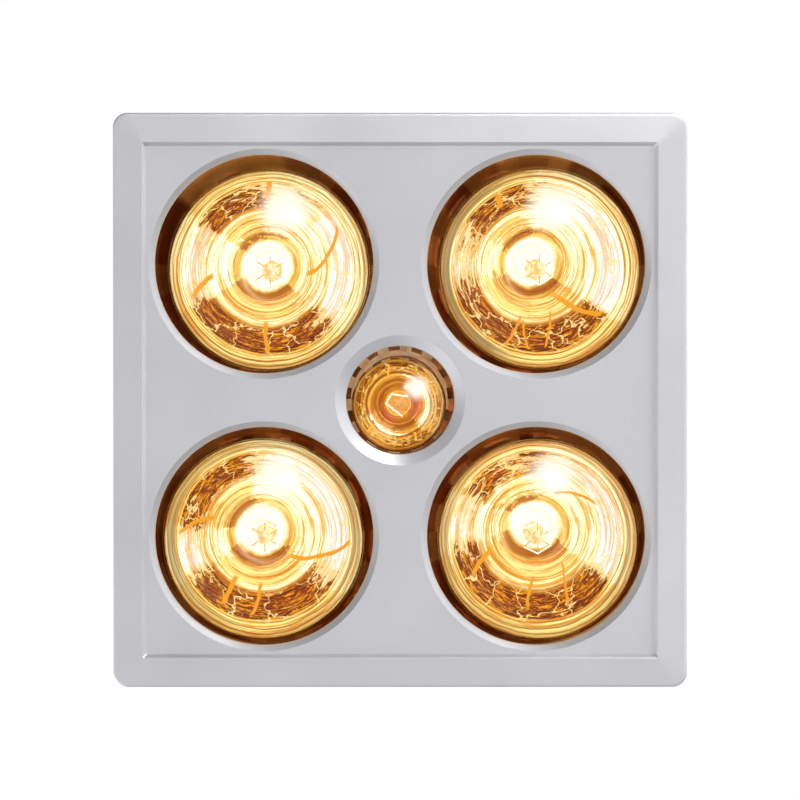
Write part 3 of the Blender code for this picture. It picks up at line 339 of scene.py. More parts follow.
# painted reflection: the bowl's emission paints the picture that a glowing filament makes in its mirrored bowl;
# clear and deep give its rings from the centre out, where it is pale and where it is dark amber

heatReflectionPaint = {
    "clear": [
        (0, 1, 1, 0.86), (0.24, 1, 1, 0.84), (0.262, 1, 0.84, 0.4), (0.285, 0.84, 0.46, 0.08), (0.33, 0.74, 0.4, 0.07),
        (0.365, 1, 0.8, 0.32), (0.42, 1, 0.94, 0.6), (0.5, 1, 0.84, 0.4), (0.56, 1, 0.95, 0.66), (0.62, 1, 0.84, 0.4),
        (0.655, 0.94, 0.86, 0.72), (0.74, 0.86, 0.78, 0.7), (0.84, 0.96, 0.88, 0.78), (0.862, 1, 0.94, 0.62),
        (0.872, 0.74, 0.36, 0.06), (0.882, 1, 0.9, 0.52), (0.914, 1, 0.82, 0.4), (0.924, 0.44, 0.15, 0.015),
        (0.934, 1, 0.86, 0.44), (0.958, 1, 0.76, 0.32), (0.968, 0.34, 0.12, 0.015), (0.98, 0.96, 0.66, 0.24),
        (1, 0.18, 0.06, 0.01)],
    "deep": [
        (0, 1, 1, 0.86), (0.24, 1, 0.98, 0.76), (0.262, 0.9, 0.5, 0.1), (0.285, 0.44, 0.13, 0.008),
        (0.33, 0.38, 0.1, 0.006), (0.365, 0.74, 0.36, 0.06), (0.42, 0.92, 0.62, 0.2), (0.5, 0.9, 0.54, 0.13),
        (0.56, 1, 0.84, 0.4), (0.6, 0.6, 0.22, 0.02), (0.635, 0.165, 0.017, 0), (0.74, 0.21, 0.026, 0),
        (0.845, 0.125, 0.01, 0), (0.86, 0.96, 0.64, 0.16), (0.872, 0.4, 0.12, 0.006), (0.882, 1, 0.72, 0.24),
        (0.914, 0.96, 0.62, 0.17), (0.924, 0.2, 0.05, 0.002), (0.934, 1, 0.7, 0.22), (0.958, 0.86, 0.5, 0.11),
        (0.968, 0.18, 0.05, 0.003), (0.98, 0.8, 0.44, 0.09), (1, 0.12, 0.035, 0.004)],
    "rim": (0.25, 0.155, 0.055), "gold": (0.92, 0.58, 0.19), "outer": (0.58, 0.64, 0.86, 0.88),
    "fleck": (1, 0.74, 0.27), "strut": (0.84, 0.33, 0.012), "spark": (0.96, 0.34, 0.008),
    "paintedHighlight": (0.160, -0.590, 0.06, 0.33),
}
lightReflectionPaint = {
    "clear": [
        (0, 1, 0.44, 0.03), (0.25, 0.94, 0.36, 0.02), (0.262, 1, 0.66, 0.2), (0.28, 0.58, 0.14, 0.04),
        (0.42, 0.5, 0.1, 0.035), (0.455, 0.84, 0.32, 0.08), (0.48, 0.52, 0.14, 0.03), (0.56, 0.84, 0.4, 0.1),
        (0.61, 1, 0.98, 0.7), (0.67, 1, 0.92, 0.54), (0.69, 0.36, 0.09, 0.005), (0.74, 1, 0.8, 0.4),
        (0.77, 0.28, 0.07, 0.005), (0.82, 0.98, 0.64, 0.25), (0.84, 0.26, 0.06, 0.004), (0.9, 0.56, 0.24, 0.05),
        (0.925, 0.16, 0.035, 0.003), (0.942, 0.98, 0.7, 0.3), (0.96, 0.15, 0.04, 0.004), (1, 0.07, 0.02, 0.002)],
    "deep": [
        (0, 1, 0.54, 0.02), (0.25, 0.86, 0.4, 0.01), (0.262, 0.98, 0.6, 0.14), (0.28, 0.66, 0.24, 0.01),
        (0.42, 0.36, 0.085, 0.003), (0.455, 0.62, 0.22, 0.015), (0.5, 0.27, 0.055, 0.001), (0.58, 0.62, 0.24, 0.02),
        (0.64, 0.82, 0.4, 0.04), (0.68, 0.17, 0.028, 0), (0.75, 0.7, 0.28, 0.02), (0.78, 0.1, 0.012, 0),
        (0.82, 0.5, 0.17, 0.01), (0.84, 0.09, 0.011, 0), (0.93, 0.12, 0.018, 0.001), (0.945, 0.74, 0.36, 0.06),
        (0.962, 0.08, 0.02, 0.002), (1, 0.05, 0.012, 0.001)],
    "rim": (0.25, 0.155, 0.055), "gold": (0.90, 0.48, 0.10), "outer": (0.69, 0.73, 0.92, 0.94),
    "fleck": (1, 0.72, 0.26), "strut": (0.92, 0.46, 0.06), "spark": (0.96, 0.42, 0.03),
    "paintedHighlight": (0.40, -0.34, 0.06, 0.36),
}
paintedReflectionStrength = 1.12


def paintedMirror(name, radius, glow, seed, sectors, struts, rim, lean=(0.0, 0.0)):
    # sectors are (share of a turn, depth) pairs, with 0 the clear side and 1 the deep amber one;
    # struts are (share of a turn, slant, start, end, width) rows for the painted reflections of the support wires;
    # rim gives the amount of tan in the outermost ring; the last entry in glow is the (x, y, inner, outer) of a painted
    # white highlight, a studio light's reflection on the dome painted into the bowl's emission
    material, tree, where = startMaterial(name)
    flat = vectorCalc(tree, "MULTIPLY", where, (1, 1, 0))
    # the inner rings lie a little off the outline's centre
    inward = calc(tree, "SUBTRACT", 1.0, calc(tree, "DIVIDE", vectorCalc(tree, "LENGTH", flat), radius), clamp=True)
    offset = combine(tree, times(tree, inward, lean[0]), times(tree, inward, lean[1]), 0.0)
    flat = vectorCalc(tree, "SUBTRACT", flat, offset)
    share = calc(tree, "DIVIDE", vectorCalc(tree, "LENGTH", flat), radius)
    facing, angle = vectorCalc(tree, "NORMALIZE", flat), shareOfTurn(tree, flat)

    def polar(aroundScale, outScale, shift):
        # noise in this space runs in streaks round the lamp
        out = combine(tree, 0.0, 0.0, timesPlus(tree, share, outScale, seed + shift))
        return vectorCalc(tree, "ADD", vectorCalc(tree, "SCALE", facing, aroundScale), out)

    sway = noiseOf(tree, polar(1.2, 2.0, 0.0), 1.6, 3.0, 0.6)
    ring = timesPlus(tree, sway, 0.06, calc(tree, "SUBTRACT", share, 0.03))
    clear, deep = rampOf(tree, ring, glow["clear"]), rampOf(tree, ring, glow["deep"])
    ragged = noiseOf(tree, polar(1.6, 9.0, 3.0), 2.2, 5.0, 0.7, 0.8)
    depth = timesPlus(tree, ragged, 1.5, calc(tree, "SUBTRACT", rampOf(tree, angle, sectors, "EASE"), 0.75))
    warm, mask = between(tree, depth, 0.14, 0.32), between(tree, depth, 0.44, 0.54)
    # sparks of orange in the deep part
    flecks = noiseOf(tree, polar(3.2, 34.0, 7.0), 1.6, 5.0, 0.75, 1.2)
    outer = rampOf(tree, share, list(zip(glow["outer"], (0, 1, 1, 0))))
    spark = times(tree, between(tree, flecks, 0.51, 0.57), outer)
    deep = mixed(tree, times(tree, spark, 0.85), deep, glow["spark"])
    clear = mixed(tree, times(tree, warm, times(tree, outer, 0.85)), clear, glow["gold"])
    colour = mixed(tree, mask, clear, deep)
    # fine lines along the rings, stronger where the rings are bright
    lines = noiseOf(tree, polar(0.40, 36.0, 11.0), 1.5, 4.0, 0.8, 0.15)
    calm = rampOf(tree, share, [(0, 0.1), (0.26, 0.2), (0.34, 1), (0.6, 1), (0.68, 0.55), (0.84, 0.6), (0.88, 1),
                                (1, 1)])
    swing = times(tree, calc(tree, "SUBTRACT", between(tree, lines, 0.44, 0.53), 0.60), calm)
    gains = [timesPlus(tree, swing, gain, level) for gain, level in ((0.34, 1.03), (0.95, 1.04), (1.50, 1.0))]
    colour = mixed(tree, 1.0, colour, combine(tree, *gains), "MULTIPLY")
    edge = rampOf(tree, share, [(0.885, 0), (0.9, 1), (0.965, 1), (0.98, 0)])
    colour = mixed(tree, times(tree, edge, rampOf(tree, angle, rim)), colour, glow["rim"])
    # thin crinkled lines that cross the outer ring
    bent = noiseOf(tree, polar(3.0, 9.0, 5.0), 1.5, output="Color")
    pull = vectorCalc(tree, "SCALE", vectorCalc(tree, "SUBTRACT", bent, (0.5, 0.5, 0.5)), 0.55)
    warped = vectorCalc(tree, "ADD", polar(1.5, 2.6, 0.0), pull)
    cells = newNode(tree, "ShaderNodeTexVoronoi", {"Vector": warped, "Scale": 1.35}, feature="DISTANCE_TO_EDGE")
    thin = between(tree, cells.outputs["Distance"], 0.011, 0.026, 1.0, 0.0)
    colour = mixed(tree, times(tree, times(tree, thin, outer), 0.9), colour, glow["fleck"])
    # painted reflections of the support wires
    for place, slant, low, high, width in struts:
        path = timesPlus(tree, calc(tree, "SUBTRACT", share, 0.7), slant, place)
        wobble = calc(tree, "SUBTRACT", noiseOf(tree, polar(0.6, 5.0, 17.0), 1.0, 2.0), 0.5)
        path = timesPlus(tree, wobble, 0.03, path)
        apart = calc(tree, "ABSOLUTE", calc(tree, "WRAP", calc(tree, "SUBTRACT", angle, path), 0.5, -0.5))
        body = between(tree, times(tree, apart, share), 0.0030 * width, 0.0046 * width + 0.0004, 1.0, 0.0)
        reach = rampOf(tree, share, [(low - 0.02, 0), (low, 1), (high, 1), (high + 0.02, 0)])
        colour = mixed(tree, times(tree, body, reach), colour, glow["strut"])
    # painted highlight: a soft white spot that stands in for a studio light's reflection on the dome
    x, y, inner, rest = glow["paintedHighlight"]
    highlightSpot = calc(tree, "DIVIDE", vectorCalc(tree, "DISTANCE", flat, (x * radius, y * radius, 0)), radius)
    colour = mixed(tree, between(tree, highlightSpot, inner, rest, 1.0, 0.0), colour, (1, 0.98, 0.84))
    # the whole picture is emitted from a nearly black mirror: a painted reflection of the filament
    return finish(material, {"Base Color": (0.006, 0.003, 0.001), "Metallic": 1.0, "Roughness": 0.3,
                             "Emission Color": colour, "Emission Strength": paintedReflectionStrength,
                             "Normal": bumpOf(tree, lines, 0.2, 0.0004)})


# stops go round from the photo's left, over the top, to the right and the bottom
heatPictures = [
    {"lean": (-0.004, -0.004), "rim": [(0, 0.1), (0.5, 0.1), (1, 0.1)],
     "sectors": [(0, 0.1), (0.08, 0.25), (0.11, 0.66), (0.22, 0.64), (0.27, 0.38), (0.36, 0.3), (0.42, 0.05),
                 (0.58, 0.05), (0.63, 0.6), (0.7, 0.8), (0.76, 1), (0.9, 1), (0.94, 0.3), (1, 0.1)],
     "struts": [(0.25, 0, 0.7, 0.88, 1), (0.443, -0.3, 0.42, 0.8, 1), (0.755, 0, 0.56, 0.82, 0.8),
                (0.957, -0.14, 0.57, 0.8, 1.1)]},
    {"lean": (-0.004, -0.006),
     "rim": [(0, 0.9), (0.14, 0.8), (0.2, 0.4), (0.3, 0.3), (0.38, 0), (0.78, 0), (0.84, 0.9), (1, 0.9)],
     "sectors": [(0, 0.22), (0.05, 0.38), (0.12, 0.66), (0.2, 0.66), (0.28, 0.38), (0.33, 0.1), (0.38, 0.02),
                 (0.58, 0.02), (0.61, 0.85), (0.72, 0.9), (0.8, 0.95), (0.9, 0.85), (0.96, 0.45), (1, 0.22)],
     "struts": [(0.165, 0.05, 0.7, 0.82, 1.2), (0.615, -0.135, 0.38, 0.8, 1.1), (0.8, 0.05, 0.55, 0.84, 0.5),
                (0.775, -0.08, 0.58, 0.82, 0.45), (0.72, 0.1, 0.52, 0.8, 0.45)]},
    {"lean": (-0.004, -0.002),
     "rim": [(0, 0.8), (0.15, 0.4), (0.25, 0.4), (0.5, 0.6), (0.6, 0.2), (0.75, 0), (0.9, 0.6), (1, 0.8)],
     "sectors": [(0, 0.3), (0.04, 0.7), (0.18, 0.68), (0.24, 0.4), (0.3, 0.1), (0.52, 0.02), (0.6, 0.45),
                 (0.66, 0.9), (0.85, 1), (0.91, 0.55), (0.94, 0.1), (1, 0.3)],
     "struts": [(0.026, -0.12, 0.52, 0.84, 0.9), (0.545, -0.21, 0.38, 0.86, 1), (0.836, 0, 0.52, 0.78, 0.9),
                (0.768, 0.07, 0.52, 0.8, 0.7)]},
    {"lean": (0.001, -0.006), "rim": [(0, 0.5), (0.25, 0.1), (0.5, 0.5), (0.75, 0.1), (1, 0.5)],
     "sectors": [(0, 0.2), (0.06, 0.32), (0.1, 0.58), (0.26, 0.52), (0.31, 0.3), (0.44, 0.1), (0.56, 0.05),
                 (0.61, 0.72), (0.75, 0.88), (0.9, 0.92), (0.96, 0.55), (1, 0.2)],
     "struts": [(0.231, 0.27, 0.58, 0.84, 0.6), (0.44, 0.4, 0.42, 0.66, 1), (0.915, -0.09, 0.5, 0.76, 1),
                (0.769, 0.04, 0.5, 0.74, 0.6), (0.68, 0.12, 0.45, 0.78, 0.45)]},
]
lightPicture = {
    "rim": [(0, 0.1), (0.5, 0.2), (0.75, 0), (1, 0.1)],
    "sectors": [(0, 0.75), (0.1, 0.9), (0.22, 0.8), (0.32, 0.55), (0.42, 0.35), (0.5, 0.1),
                (0.58, 0.2), (0.66, 0.7), (0.75, 0.6), (0.82, 0.35), (0.92, 0.45), (1, 0.75)],
    "struts": [(0.2, 0.05, 0.66, 0.88, 0.9), (0.42, 0, 0.72, 0.9, 0.8), (0.67, 0.04, 0.7, 0.88, 0.9),
               (0.885, 0, 0.7, 0.9, 1)],
}
heatPaintedMirrors = [paintedMirror(f"heatPaintedMirror{number + 1}", heatRadius, heatReflectionPaint, 1.7 + 3.1 * number, **picture)
               for number, picture in enumerate(heatPictures)]
lightPaintedMirror = paintedMirror("lightPaintedMirror", lightRadius, lightReflectionPaint, 14.3, **lightPicture)


def glassFinish(name, tint):
    material, tree, where = startMaterial(name)
    return finish(material, {"Base Color": tint, "IOR": 1.26, "Transmission Weight": 1.0,
                             "Specular Tint": (1.0, 0.92, 0.70),
                             "Roughness": times(tree, noiseOf(tree, where, 260.0, 2.0), 0.006),
                             "Normal": bumpOf(tree, noiseOf(tree, where, 38.0, 2.0), 0.03, 0.0004)})


def glowFinish(name, low, high, strength, scale=900.0):
    material, tree, where = startMaterial(name)
    grain = noiseOf(tree, where, scale, 2.0)
    return finish(material, {"Base Color": (0.25, 0.18, 0.10), "Roughness": timesPlus(tree, grain, 0.2, 0.4),
                             "Emission Color": rampOf(tree, grain, [(0.35, *low), (0.65, *high)]),
                             "Emission Strength": strength})


domeGlass = glassFinish("domeGlass", (1.0, 0.99, 0.97))
hotWire = glowFinish("hotWire", (1.0, 0.90, 0.62), (1.0, 0.97, 0.84), 1.8)
# only the filament is a lamp; the supports and stems glow with painted light from it
supportPaintedGlow = glowFinish("supportPaintedGlow", (0.42, 0.18, 0.02), (0.80, 0.42, 0.10), 1.0)
stemPaintedGlow = glowFinish("stemPaintedGlow", (0.84, 0.46, 0.10), (1.0, 0.90, 0.55), 1.0, 300.0)
goldStemPaintedGlow = glowFinish("goldStemPaintedGlow", (0.60, 0.22, 0.02), (0.84, 0.38, 0.06), 1.0, 300.0)


# reflector cups with painted amber lamplight

def paintedLamplightFinish(name, seed, patches, tans=((0.26, 0.094, 0.014), (0.40, 0.165, 0.036)), bands=None):
    # patches are (share of a turn, amount of painted tan lamplight) stops round the cup; with bands, all is dark below
    # the first height and painted tan light above the second
    material, tree, where = startMaterial(name)
    angle, height = shareOfTurn(tree, where), axesOf(tree, where)[2]
    grid = vectorCalc(tree, "FLOOR", combine(tree, times(tree, angle, 22.0), times(tree, height, 60.0), seed))
    blocks = newNode(tree, "ShaderNodeTexWhiteNoise", {"Vector": grid}).outputs["Value"]
    amount = calc(tree, "ADD", rampOf(tree, angle, patches), timesPlus(tree, blocks, 0.7, -0.42), clamp=True)
    if bands:
        lit, top = (between(tree, height, band, band + 0.0006) for band in bands)
        amount = calc(tree, "MAXIMUM", times(tree, amount, lit), top)
    soft = noiseOf(tree, where, 45.0)
    deep = rampOf(tree, soft, [(0.3, 0.050, 0.005, 0.0004), (0.7, 0.095, 0.013, 0.001)])
    tan = rampOf(tree, soft, [(0.3, *tans[0]), (0.7, *tans[1])])
    colour = mixed(tree, amount, deep, tan)
    # the colour also glows: painted lamplight on metal that is no lamp
    return finish(material, {"Base Color": colour, "Metallic": 1.0, "Roughness": timesPlus(tree, soft, 0.12, 0.14),
                             "Emission Color": colour, "Emission Strength": 0.50,
                             "Normal": bumpOf(tree, noiseOf(tree, where, 160.0, 2.0), 0.05, 0.0004)})


cupLamplightPatches = [
    [(0, 0.25), (0.1, 0.25), (0.11, 0.98), (0.27, 0.95), (0.285, 0.25), (0.6, 0), (0.9, 0.1), (1, 0.25)],
    [(0, 0.38), (0.19, 0.36), (0.2, 0.98), (0.3, 0.95), (0.31, 0.25), (0.4, 0.1), (0.86, 0.15), (1, 0.38)],
    [(0, 0), (0.2, 0.25), (0.3, 0.3), (0.45, 0.1), (1, 0.1)],
    [(0, 0.3), (0.2, 0.35), (0.3, 0.3), (0.5, 0.12), (0.9, 0.12), (1, 0.3)],
]
collarLamplightPatches = [(0, 1), (0.3, 1), (0.37, 0.55), (0.42, 0.15), (0.62, 0.15), (0.72, 0.8), (0.9, 1)]
cupLamplightPaints = [paintedLamplightFinish(f"cupLamplightPaint{number + 1}", 3.0 + 5 * number, cupLamplightPatches[number]) for number in range(4)]
collarLamplightPaint = paintedLamplightFinish("collarLamplightPaint", 31.0, collarLamplightPatches, ((0.62, 0.38, 0.18), (0.80, 0.56, 0.32)), (0.0152, 0.0294))
print("lamp materials ready")


# fascia

fasciaSizes = {"half": 0.175, "corner": 0.009, "rim": -0.0118, "ridge": -0.0145, "front": -0.0122, "back": -0.0100,
               "wall": 0.0022, "border": 0.0178, "step": 0.0025, "lipBack": -0.0054, "lipWall": 0.0012,
               "heatHole": (0.0666, 0.0037, 0.0034), "lightHole": (0.0330, 0.0066, 0.0040), "fine": 0.00035,
               "steps": 144}


def makeFascia(half, corner, rim, ridge, front, back, wall, border, step, lipBack, lipWall, heatHole, lightHole, fine,
               steps):
    crest, panel = half - border, half - border - step
    slope = (rim - ridge) / border
    shape = bmesh.new()
    # from the flat panel over the ridge and the sloping border to the rim, then back behind them
    rows = [
        (panel - 0.0003, 0.0008, front), (panel + 0.0002, 0.0009, front - 0.00008),
        (crest - 0.0004, 0.0010, ridge + 0.00022), (crest, 0.0010, ridge),
        (crest + 0.0004, 0.0011, ridge + 0.0004 * slope), (half - 0.0022, corner - 0.0002, rim - 0.0022 * slope),
        (half - 0.0010, corner, rim - 0.0001), (half - 0.0003, corner, rim + 0.0004), (half, corner, rim + 0.0012),
        (half, corner, 0.0), (half - wall, corner - wall, 0.0), (half - wall, corner - wall, rim + wall),
        (crest, 0.0010, ridge + wall), (panel, 0.0008, back),
    ]
    squares = [squareRing(shape, *row) for row in rows]
    bridge(shape, squares)
    frontEdges, backEdges = edgesOf(shape, squares[0]), edgesOf(shape, squares[-1])
    for place, (radius, wide, deep) in [(place, heatHole) for place in holePlaces] + [((0, 0), lightHole)]:
        mouth = radius + wide
        boss = mouth + lipWall
        outline = [(mouth + fine, front), (mouth - fine * 0.4, front + fine * 0.35),
                   (radius + fine * 1.2, front + deep - fine * 1.1), (radius + fine * 0.3, front + deep),
                   (radius, front + deep + fine), (radius, lipBack), (boss, lipBack), (boss, back)]
        rings = circles(shape, outline, steps, place)
        bridge(shape, rings)
        frontEdges += edgesOf(shape, rings[0])
        backEdges += edgesOf(shape, rings[-1])
    bmesh.ops.triangle_fill(shape, edges=frontEdges, use_beauty=True)
    bmesh.ops.triangle_fill(shape, edges=backEdges, use_beauty=True)
    piece = addPiece("fasciaPanel", shape, [silverPaint], "fascia", ["fascia_panel"], smooth=24)
    weighted = piece.modifiers.new("weighted", "WEIGHTED_NORMAL")
    weighted.keep_sharp = True
    weighted.weight = 90


makeFascia(**fasciaSizes)
print("fascia ready")


# reflector cups and the collar of the centre lamp

cupSizes = {"bottom": 0.0025, "height": 0.095, "mouth": 0.0676, "flange": 0.0702, "neck": 0.0270, "foil": 0.0008,
            "shares": [(0.0, 1.0), (0.20, 0.985), (0.335, 0.965), (0.53, 0.80), (0.76, 0.43), (1.0, 0.0)],
            "steps": 96, "slotRow": 3, "slotEvery": 8, "slotWide": 4, "finer": 4}
collarSizes = {"bottom": 0.0025, "height": 0.036, "mouth": 0.0345, "flange": 0.0410, "low": 0.0331, "waist": 0.0294,
               "top": 0.0268, "foil": 0.0008, "teeth": 14, "perTooth": 8, "windowLow": 0.36, "windowHigh": 0.76}


def makeCups(bottom, height, mouth, flange, neck, foil, shares, steps, slotRow, slotEvery, slotWide, finer):
    points = [(neck + wide * (mouth - neck), bottom + high * height) for high, wide in shares]
    outline = [(flange, bottom)] + smoothOutline(points, finer)
    first = 1 + slotRow * finer

    def isOpen(level, step):
        return first <= level < first + finer and step % slotEvery < slotWide

    for number, (x, y) in enumerate(holePlaces):
        shape = bmesh.new()
        bridge(shape, circles(shape, outline, steps), isOpen)
        piece = addPiece(f"reflectorCup{number + 1}", shape, [cupLamplightPaints[number]], "housing",
                         [f"reflector_cup_{number + 1}"], (x, y, 0))
        addWall(piece, foil, 1)


def makeCollar(bottom, height, mouth, flange, low, waist, top, foil, teeth, perTooth, windowLow, windowHigh):
    outline = [(flange, bottom), (mouth + 0.0006, bottom), (mouth, bottom + 0.0006), (low, bottom + windowLow * height),
               (waist, bottom + windowHigh * height), (top, bottom + height)]
    windows = 3  # the span of the outline that has the openings

    def isOpen(level, step):
        return level == windows and step % perTooth < perTooth // 2

    shape = bmesh.new()
    bridge(shape, circles(shape, outline, teeth * perTooth), isOpen)
    piece = addPiece("centreCollar", shape, [collarLamplightPaint], "housing", ["centre_reflector"])
    addWall(piece, foil, 1)


makeCups(**cupSizes)
makeCollar(**collarSizes)
print("reflectors ready")


# lamps

glassSizes = {
    "heat": {"apex": heatApex, "length": 0.150, "radius": heatRadius,
             "heights": (0.0, 0.006, 0.022, 0.075, 0.155, 0.26, 0.37, 0.50, 0.66, 0.78, 0.90),
             "widths": (0.0, 0.21, 0.40, 0.71, 0.92, 1.0, 0.965, 0.815, 0.53, 0.35, 0.30)},
    "light": {"apex": lightApex, "length": 0.077, "radius": lightRadius,
              "heights": (0.0, 0.011, 0.04, 0.13, 0.25, 0.37, 0.52, 0.72, 0.86),
              "widths": (0.0, 0.23, 0.45, 0.80, 0.97, 1.0, 0.92, 0.64, 0.46)},
    "neck": 0.0124, "neckLength": 0.0068, "wall": 0.0010, "steps": 96, "finer": 5,
}
wireSizes = {"coil": 0.0006, "wire": 0.00022, "pitch": 0.0011, "perTurn": 6, "hook": 0.0003, "button": 0.0042}
filaments = {"heat": {"radius": 0.0098, "height": heatApex + 0.064, "bends": (215, 273, 331, 389, 447, 505)},
             "light": {"radius": 0.0078, "height": lightApex + 0.036, "bends": (73, 184, 235, 322)}}
capSizes = {"radius": 0.0133, "length": 0.026, "contact": 0.0046, "tip": 0.004, "pitch": 0.0042, "thread": 0.0006,
            "gap": 0.0003, "steps": 64, "levels": 40}


def glassLine(apex, length, radius, heights, widths):
    g, end = glassSizes, apex + length
    points = [(radius * wide, apex + length * high) for high, wide in zip(heights, widths)]
    return smoothOutline(points + [(g["neck"], end - g["neckLength"]), (g["neck"], end)], g["finer"])


def insideOf(line, distance):
    moved = []
    for place, (radius, height) in enumerate(line):
        along = alongAt(line, place)
        moved.append((max(radius - along.y * distance, 0.0), height + along.x * distance))
    moved[0] = (0.0, line[0][1] + distance)
    return moved


def makeGlass(name, kind, mirror, body, place, node):
    # the clear dome up to the widest ring, then the bowl, silvered outside and with the painted reflection of the
    # filament inside
    line = glassLine(**glassSizes[kind])
    inner, end = insideOf(line, glassSizes["wall"]), line[-1][1]
    widest = max(range(len(line)), key=lambda spot: line[spot][0])
    dome = turnedShape(line[:widest + 1] + inner[:widest + 1][::-1], glassSizes["steps"])
    addPiece(f"{name}Dome", dome, [domeGlass], body, [node], place, smooth=60)
    outer, lining = line[widest:], inner[widest:]
    outer[0] = (outer[0][0], outer[0][1] + 0.0001)
    lining[0] = (lining[0][0], outer[0][1])
    floor = end - glassSizes["neckLength"] * 1.2
    lining = [point for point in lining if point[1] < floor] + [(0.0, floor)]
    kinds = [0] * len(outer) + [1] * len(lining)
    bowl = turnedShape([(0.0, end)] + outer[::-1] + lining, glassSizes["steps"], kinds=kinds)
    addPiece(f"{name}Bowl", bowl, [silvered, mirror], body, (), place, smooth=50)
    return end


def makeFilament(name, body, place, node, radius, height, bends):
    # a fine coil wound along an open polygon
    w = wireSizes
    corners = [Vector((radius * math.cos(math.radians(bend)), radius * math.sin(math.radians(bend)), height))
               for bend in bends]
    points, travelled = [], 0.0
    for start, stop in zip(corners, corners[1:]):
        along = stop - start
        side = along.normalized().cross(Vector((0, 0, 1)))
        count = int(along.length / w["pitch"] * w["perTurn"])
        for step in range(count):
            phase = turn * (travelled + along.length * step / count) / w["pitch"]
            offset = (side * math.cos(phase) + Vector((0, 0, 1)) * math.sin(phase)) * (w["coil"] - w["wire"])
            points.append(start + along * step / count + offset)
        travelled += along.length
    shape = wireThrough(bmesh.new(), points, w["wire"], 5)
    addPiece(f"{name}Filament", shape, [hotWire], body, [node], place)
    return corners


def makeStem(name, body, place, node, material, end, height, corners):
    # glass stem with its button, and a hook out to each bend of the filament
    button, hook = wireSizes["button"], wireSizes["hook"]
    flare = end - 0.0075
    pinch = flare - 0.0136
    outline = [(0, height - 0.0012), (button * 0.7, height - 0.0008), (button, height + 0.0006),
               (button, height + 0.003), (button * 0.75, height + 0.0045), (0.0030, height + 0.007),
               (0.0030, pinch), (0.0048, flare - 0.002), (0.0085, flare), (0, flare)]
    addPiece(f"{name}Stem", turnedShape(outline, 40), [material], body, [node], place, smooth=50)
    hooks = bmesh.new()
    middle = height + 0.002
    for corner in corners[1:-1]:
        flat = Vector((corner.x, corner.y, 0))
        away, reach = flat.normalized(), flat.length
        spots = ((0.003, middle), (reach * 0.6, middle - 0.0004), (reach - 0.0010, middle),
                 (reach + 0.0009, middle + 0.0008))
        wireThrough(hooks, [away * out + Vector((0, 0, up)) for out, up in spots], hook, 6)
    for corner, side in ((corners[0], -1), (corners[-1], 1)):
        # the two leads run from the filament's ends back to the pinch
        line = [corner, Vector((corner.x * 0.55, corner.y * 0.55, height + 0.012)),
                Vector((side * 0.0028, 0, (height + pinch) / 2)), Vector((side * 0.0022, 0, pinch))]
        wireThrough(hooks, line, hook * 1.4, 6)
    addPiece(f"{name}Supports", hooks, [supportPaintedGlow], body, (), place)


def makeCap(name, body, place, node, end, radius, length, contact, tip, pitch, thread, gap, steps, levels):
    # screw shell with a true thread, then the black glass bead and the contact
    skirt, start = end - glassSizes["neckLength"] + gap, end + gap
    top = start + length
    shoulder = top - 0.004
    shape = bmesh.new()
    rows = []
    for level in range(levels + 1):
        height = skirt + (shoulder - skirt) * level / levels
        fade = min(1.0, level / 6, (levels - level) / 5)
        row = []
        for step in range(steps):
            reach = radius - thread * fade * (0.5 + 0.5 * math.cos(turn * (height / pitch - step / steps)))
            angle = turn * step / steps
            row.append(shape.verts.new((reach * math.cos(angle), reach * math.sin(angle), height)))
        rows.append(row)
    bridge(shape, rows)
    lower = circles(shape, [(0.0127, skirt), (0.0127, start)], steps)
    bridge(shape, [rows[0]] + lower)
    shape.faces.new(lower[1])
    upper = circles(shape, [(0.0118, shoulder + 0.0012), (contact + 0.002, top - 0.0008), (contact, top),
                            (contact, top + tip - 0.0008), (contact - 0.0012, top + tip)], steps)
    bridge(shape, [rows[-1]] + upper)
    shape.faces.new(upper[-1])
    piece = addPiece(f"{name}Cap", shape, [capBrass, blackPlastic], body, [node], place, smooth=40)
    for face in piece.data.polygons:
        if shoulder + 0.0002 < face.center.z < top - 0.0004:
            face.material_index = 1


def makeLamp(name, kind, mirror, stemMaterial, body, place, nodeNames):
    glass, cap, stem, filament = nodeNames
    end = makeGlass(name, kind, mirror, body, place, glass)
    corners = makeFilament(name, body, place, filament, **filaments[kind])
    makeStem(name, body, place, stem, stemMaterial, end, filaments[kind]["height"] - 0.002, corners)
    makeCap(name, body, place, cap, end, **capSizes)


lampParts = ("glass", "cap", "stem", "filament")
for number, (x, y) in enumerate(lampPlaces):
    makeLamp(f"heatLamp{number + 1}", "heat", heatPaintedMirrors[number], stemPaintedGlow, f"heat_lamp_{number + 1}", (x, y, 0),
             [f"heat_lamp_{part}_{number + 1}" for part in lampParts])
makeLamp("lightLamp", "light", lightPaintedMirror, goldStemPaintedGlow, "light_lamp", (*lightPlace, 0),
         [f"light_lamp_{part}" for part in lampParts])
print("lamps ready")


# carried-over pieces get their finish and softened edges: (material, rounding, names)

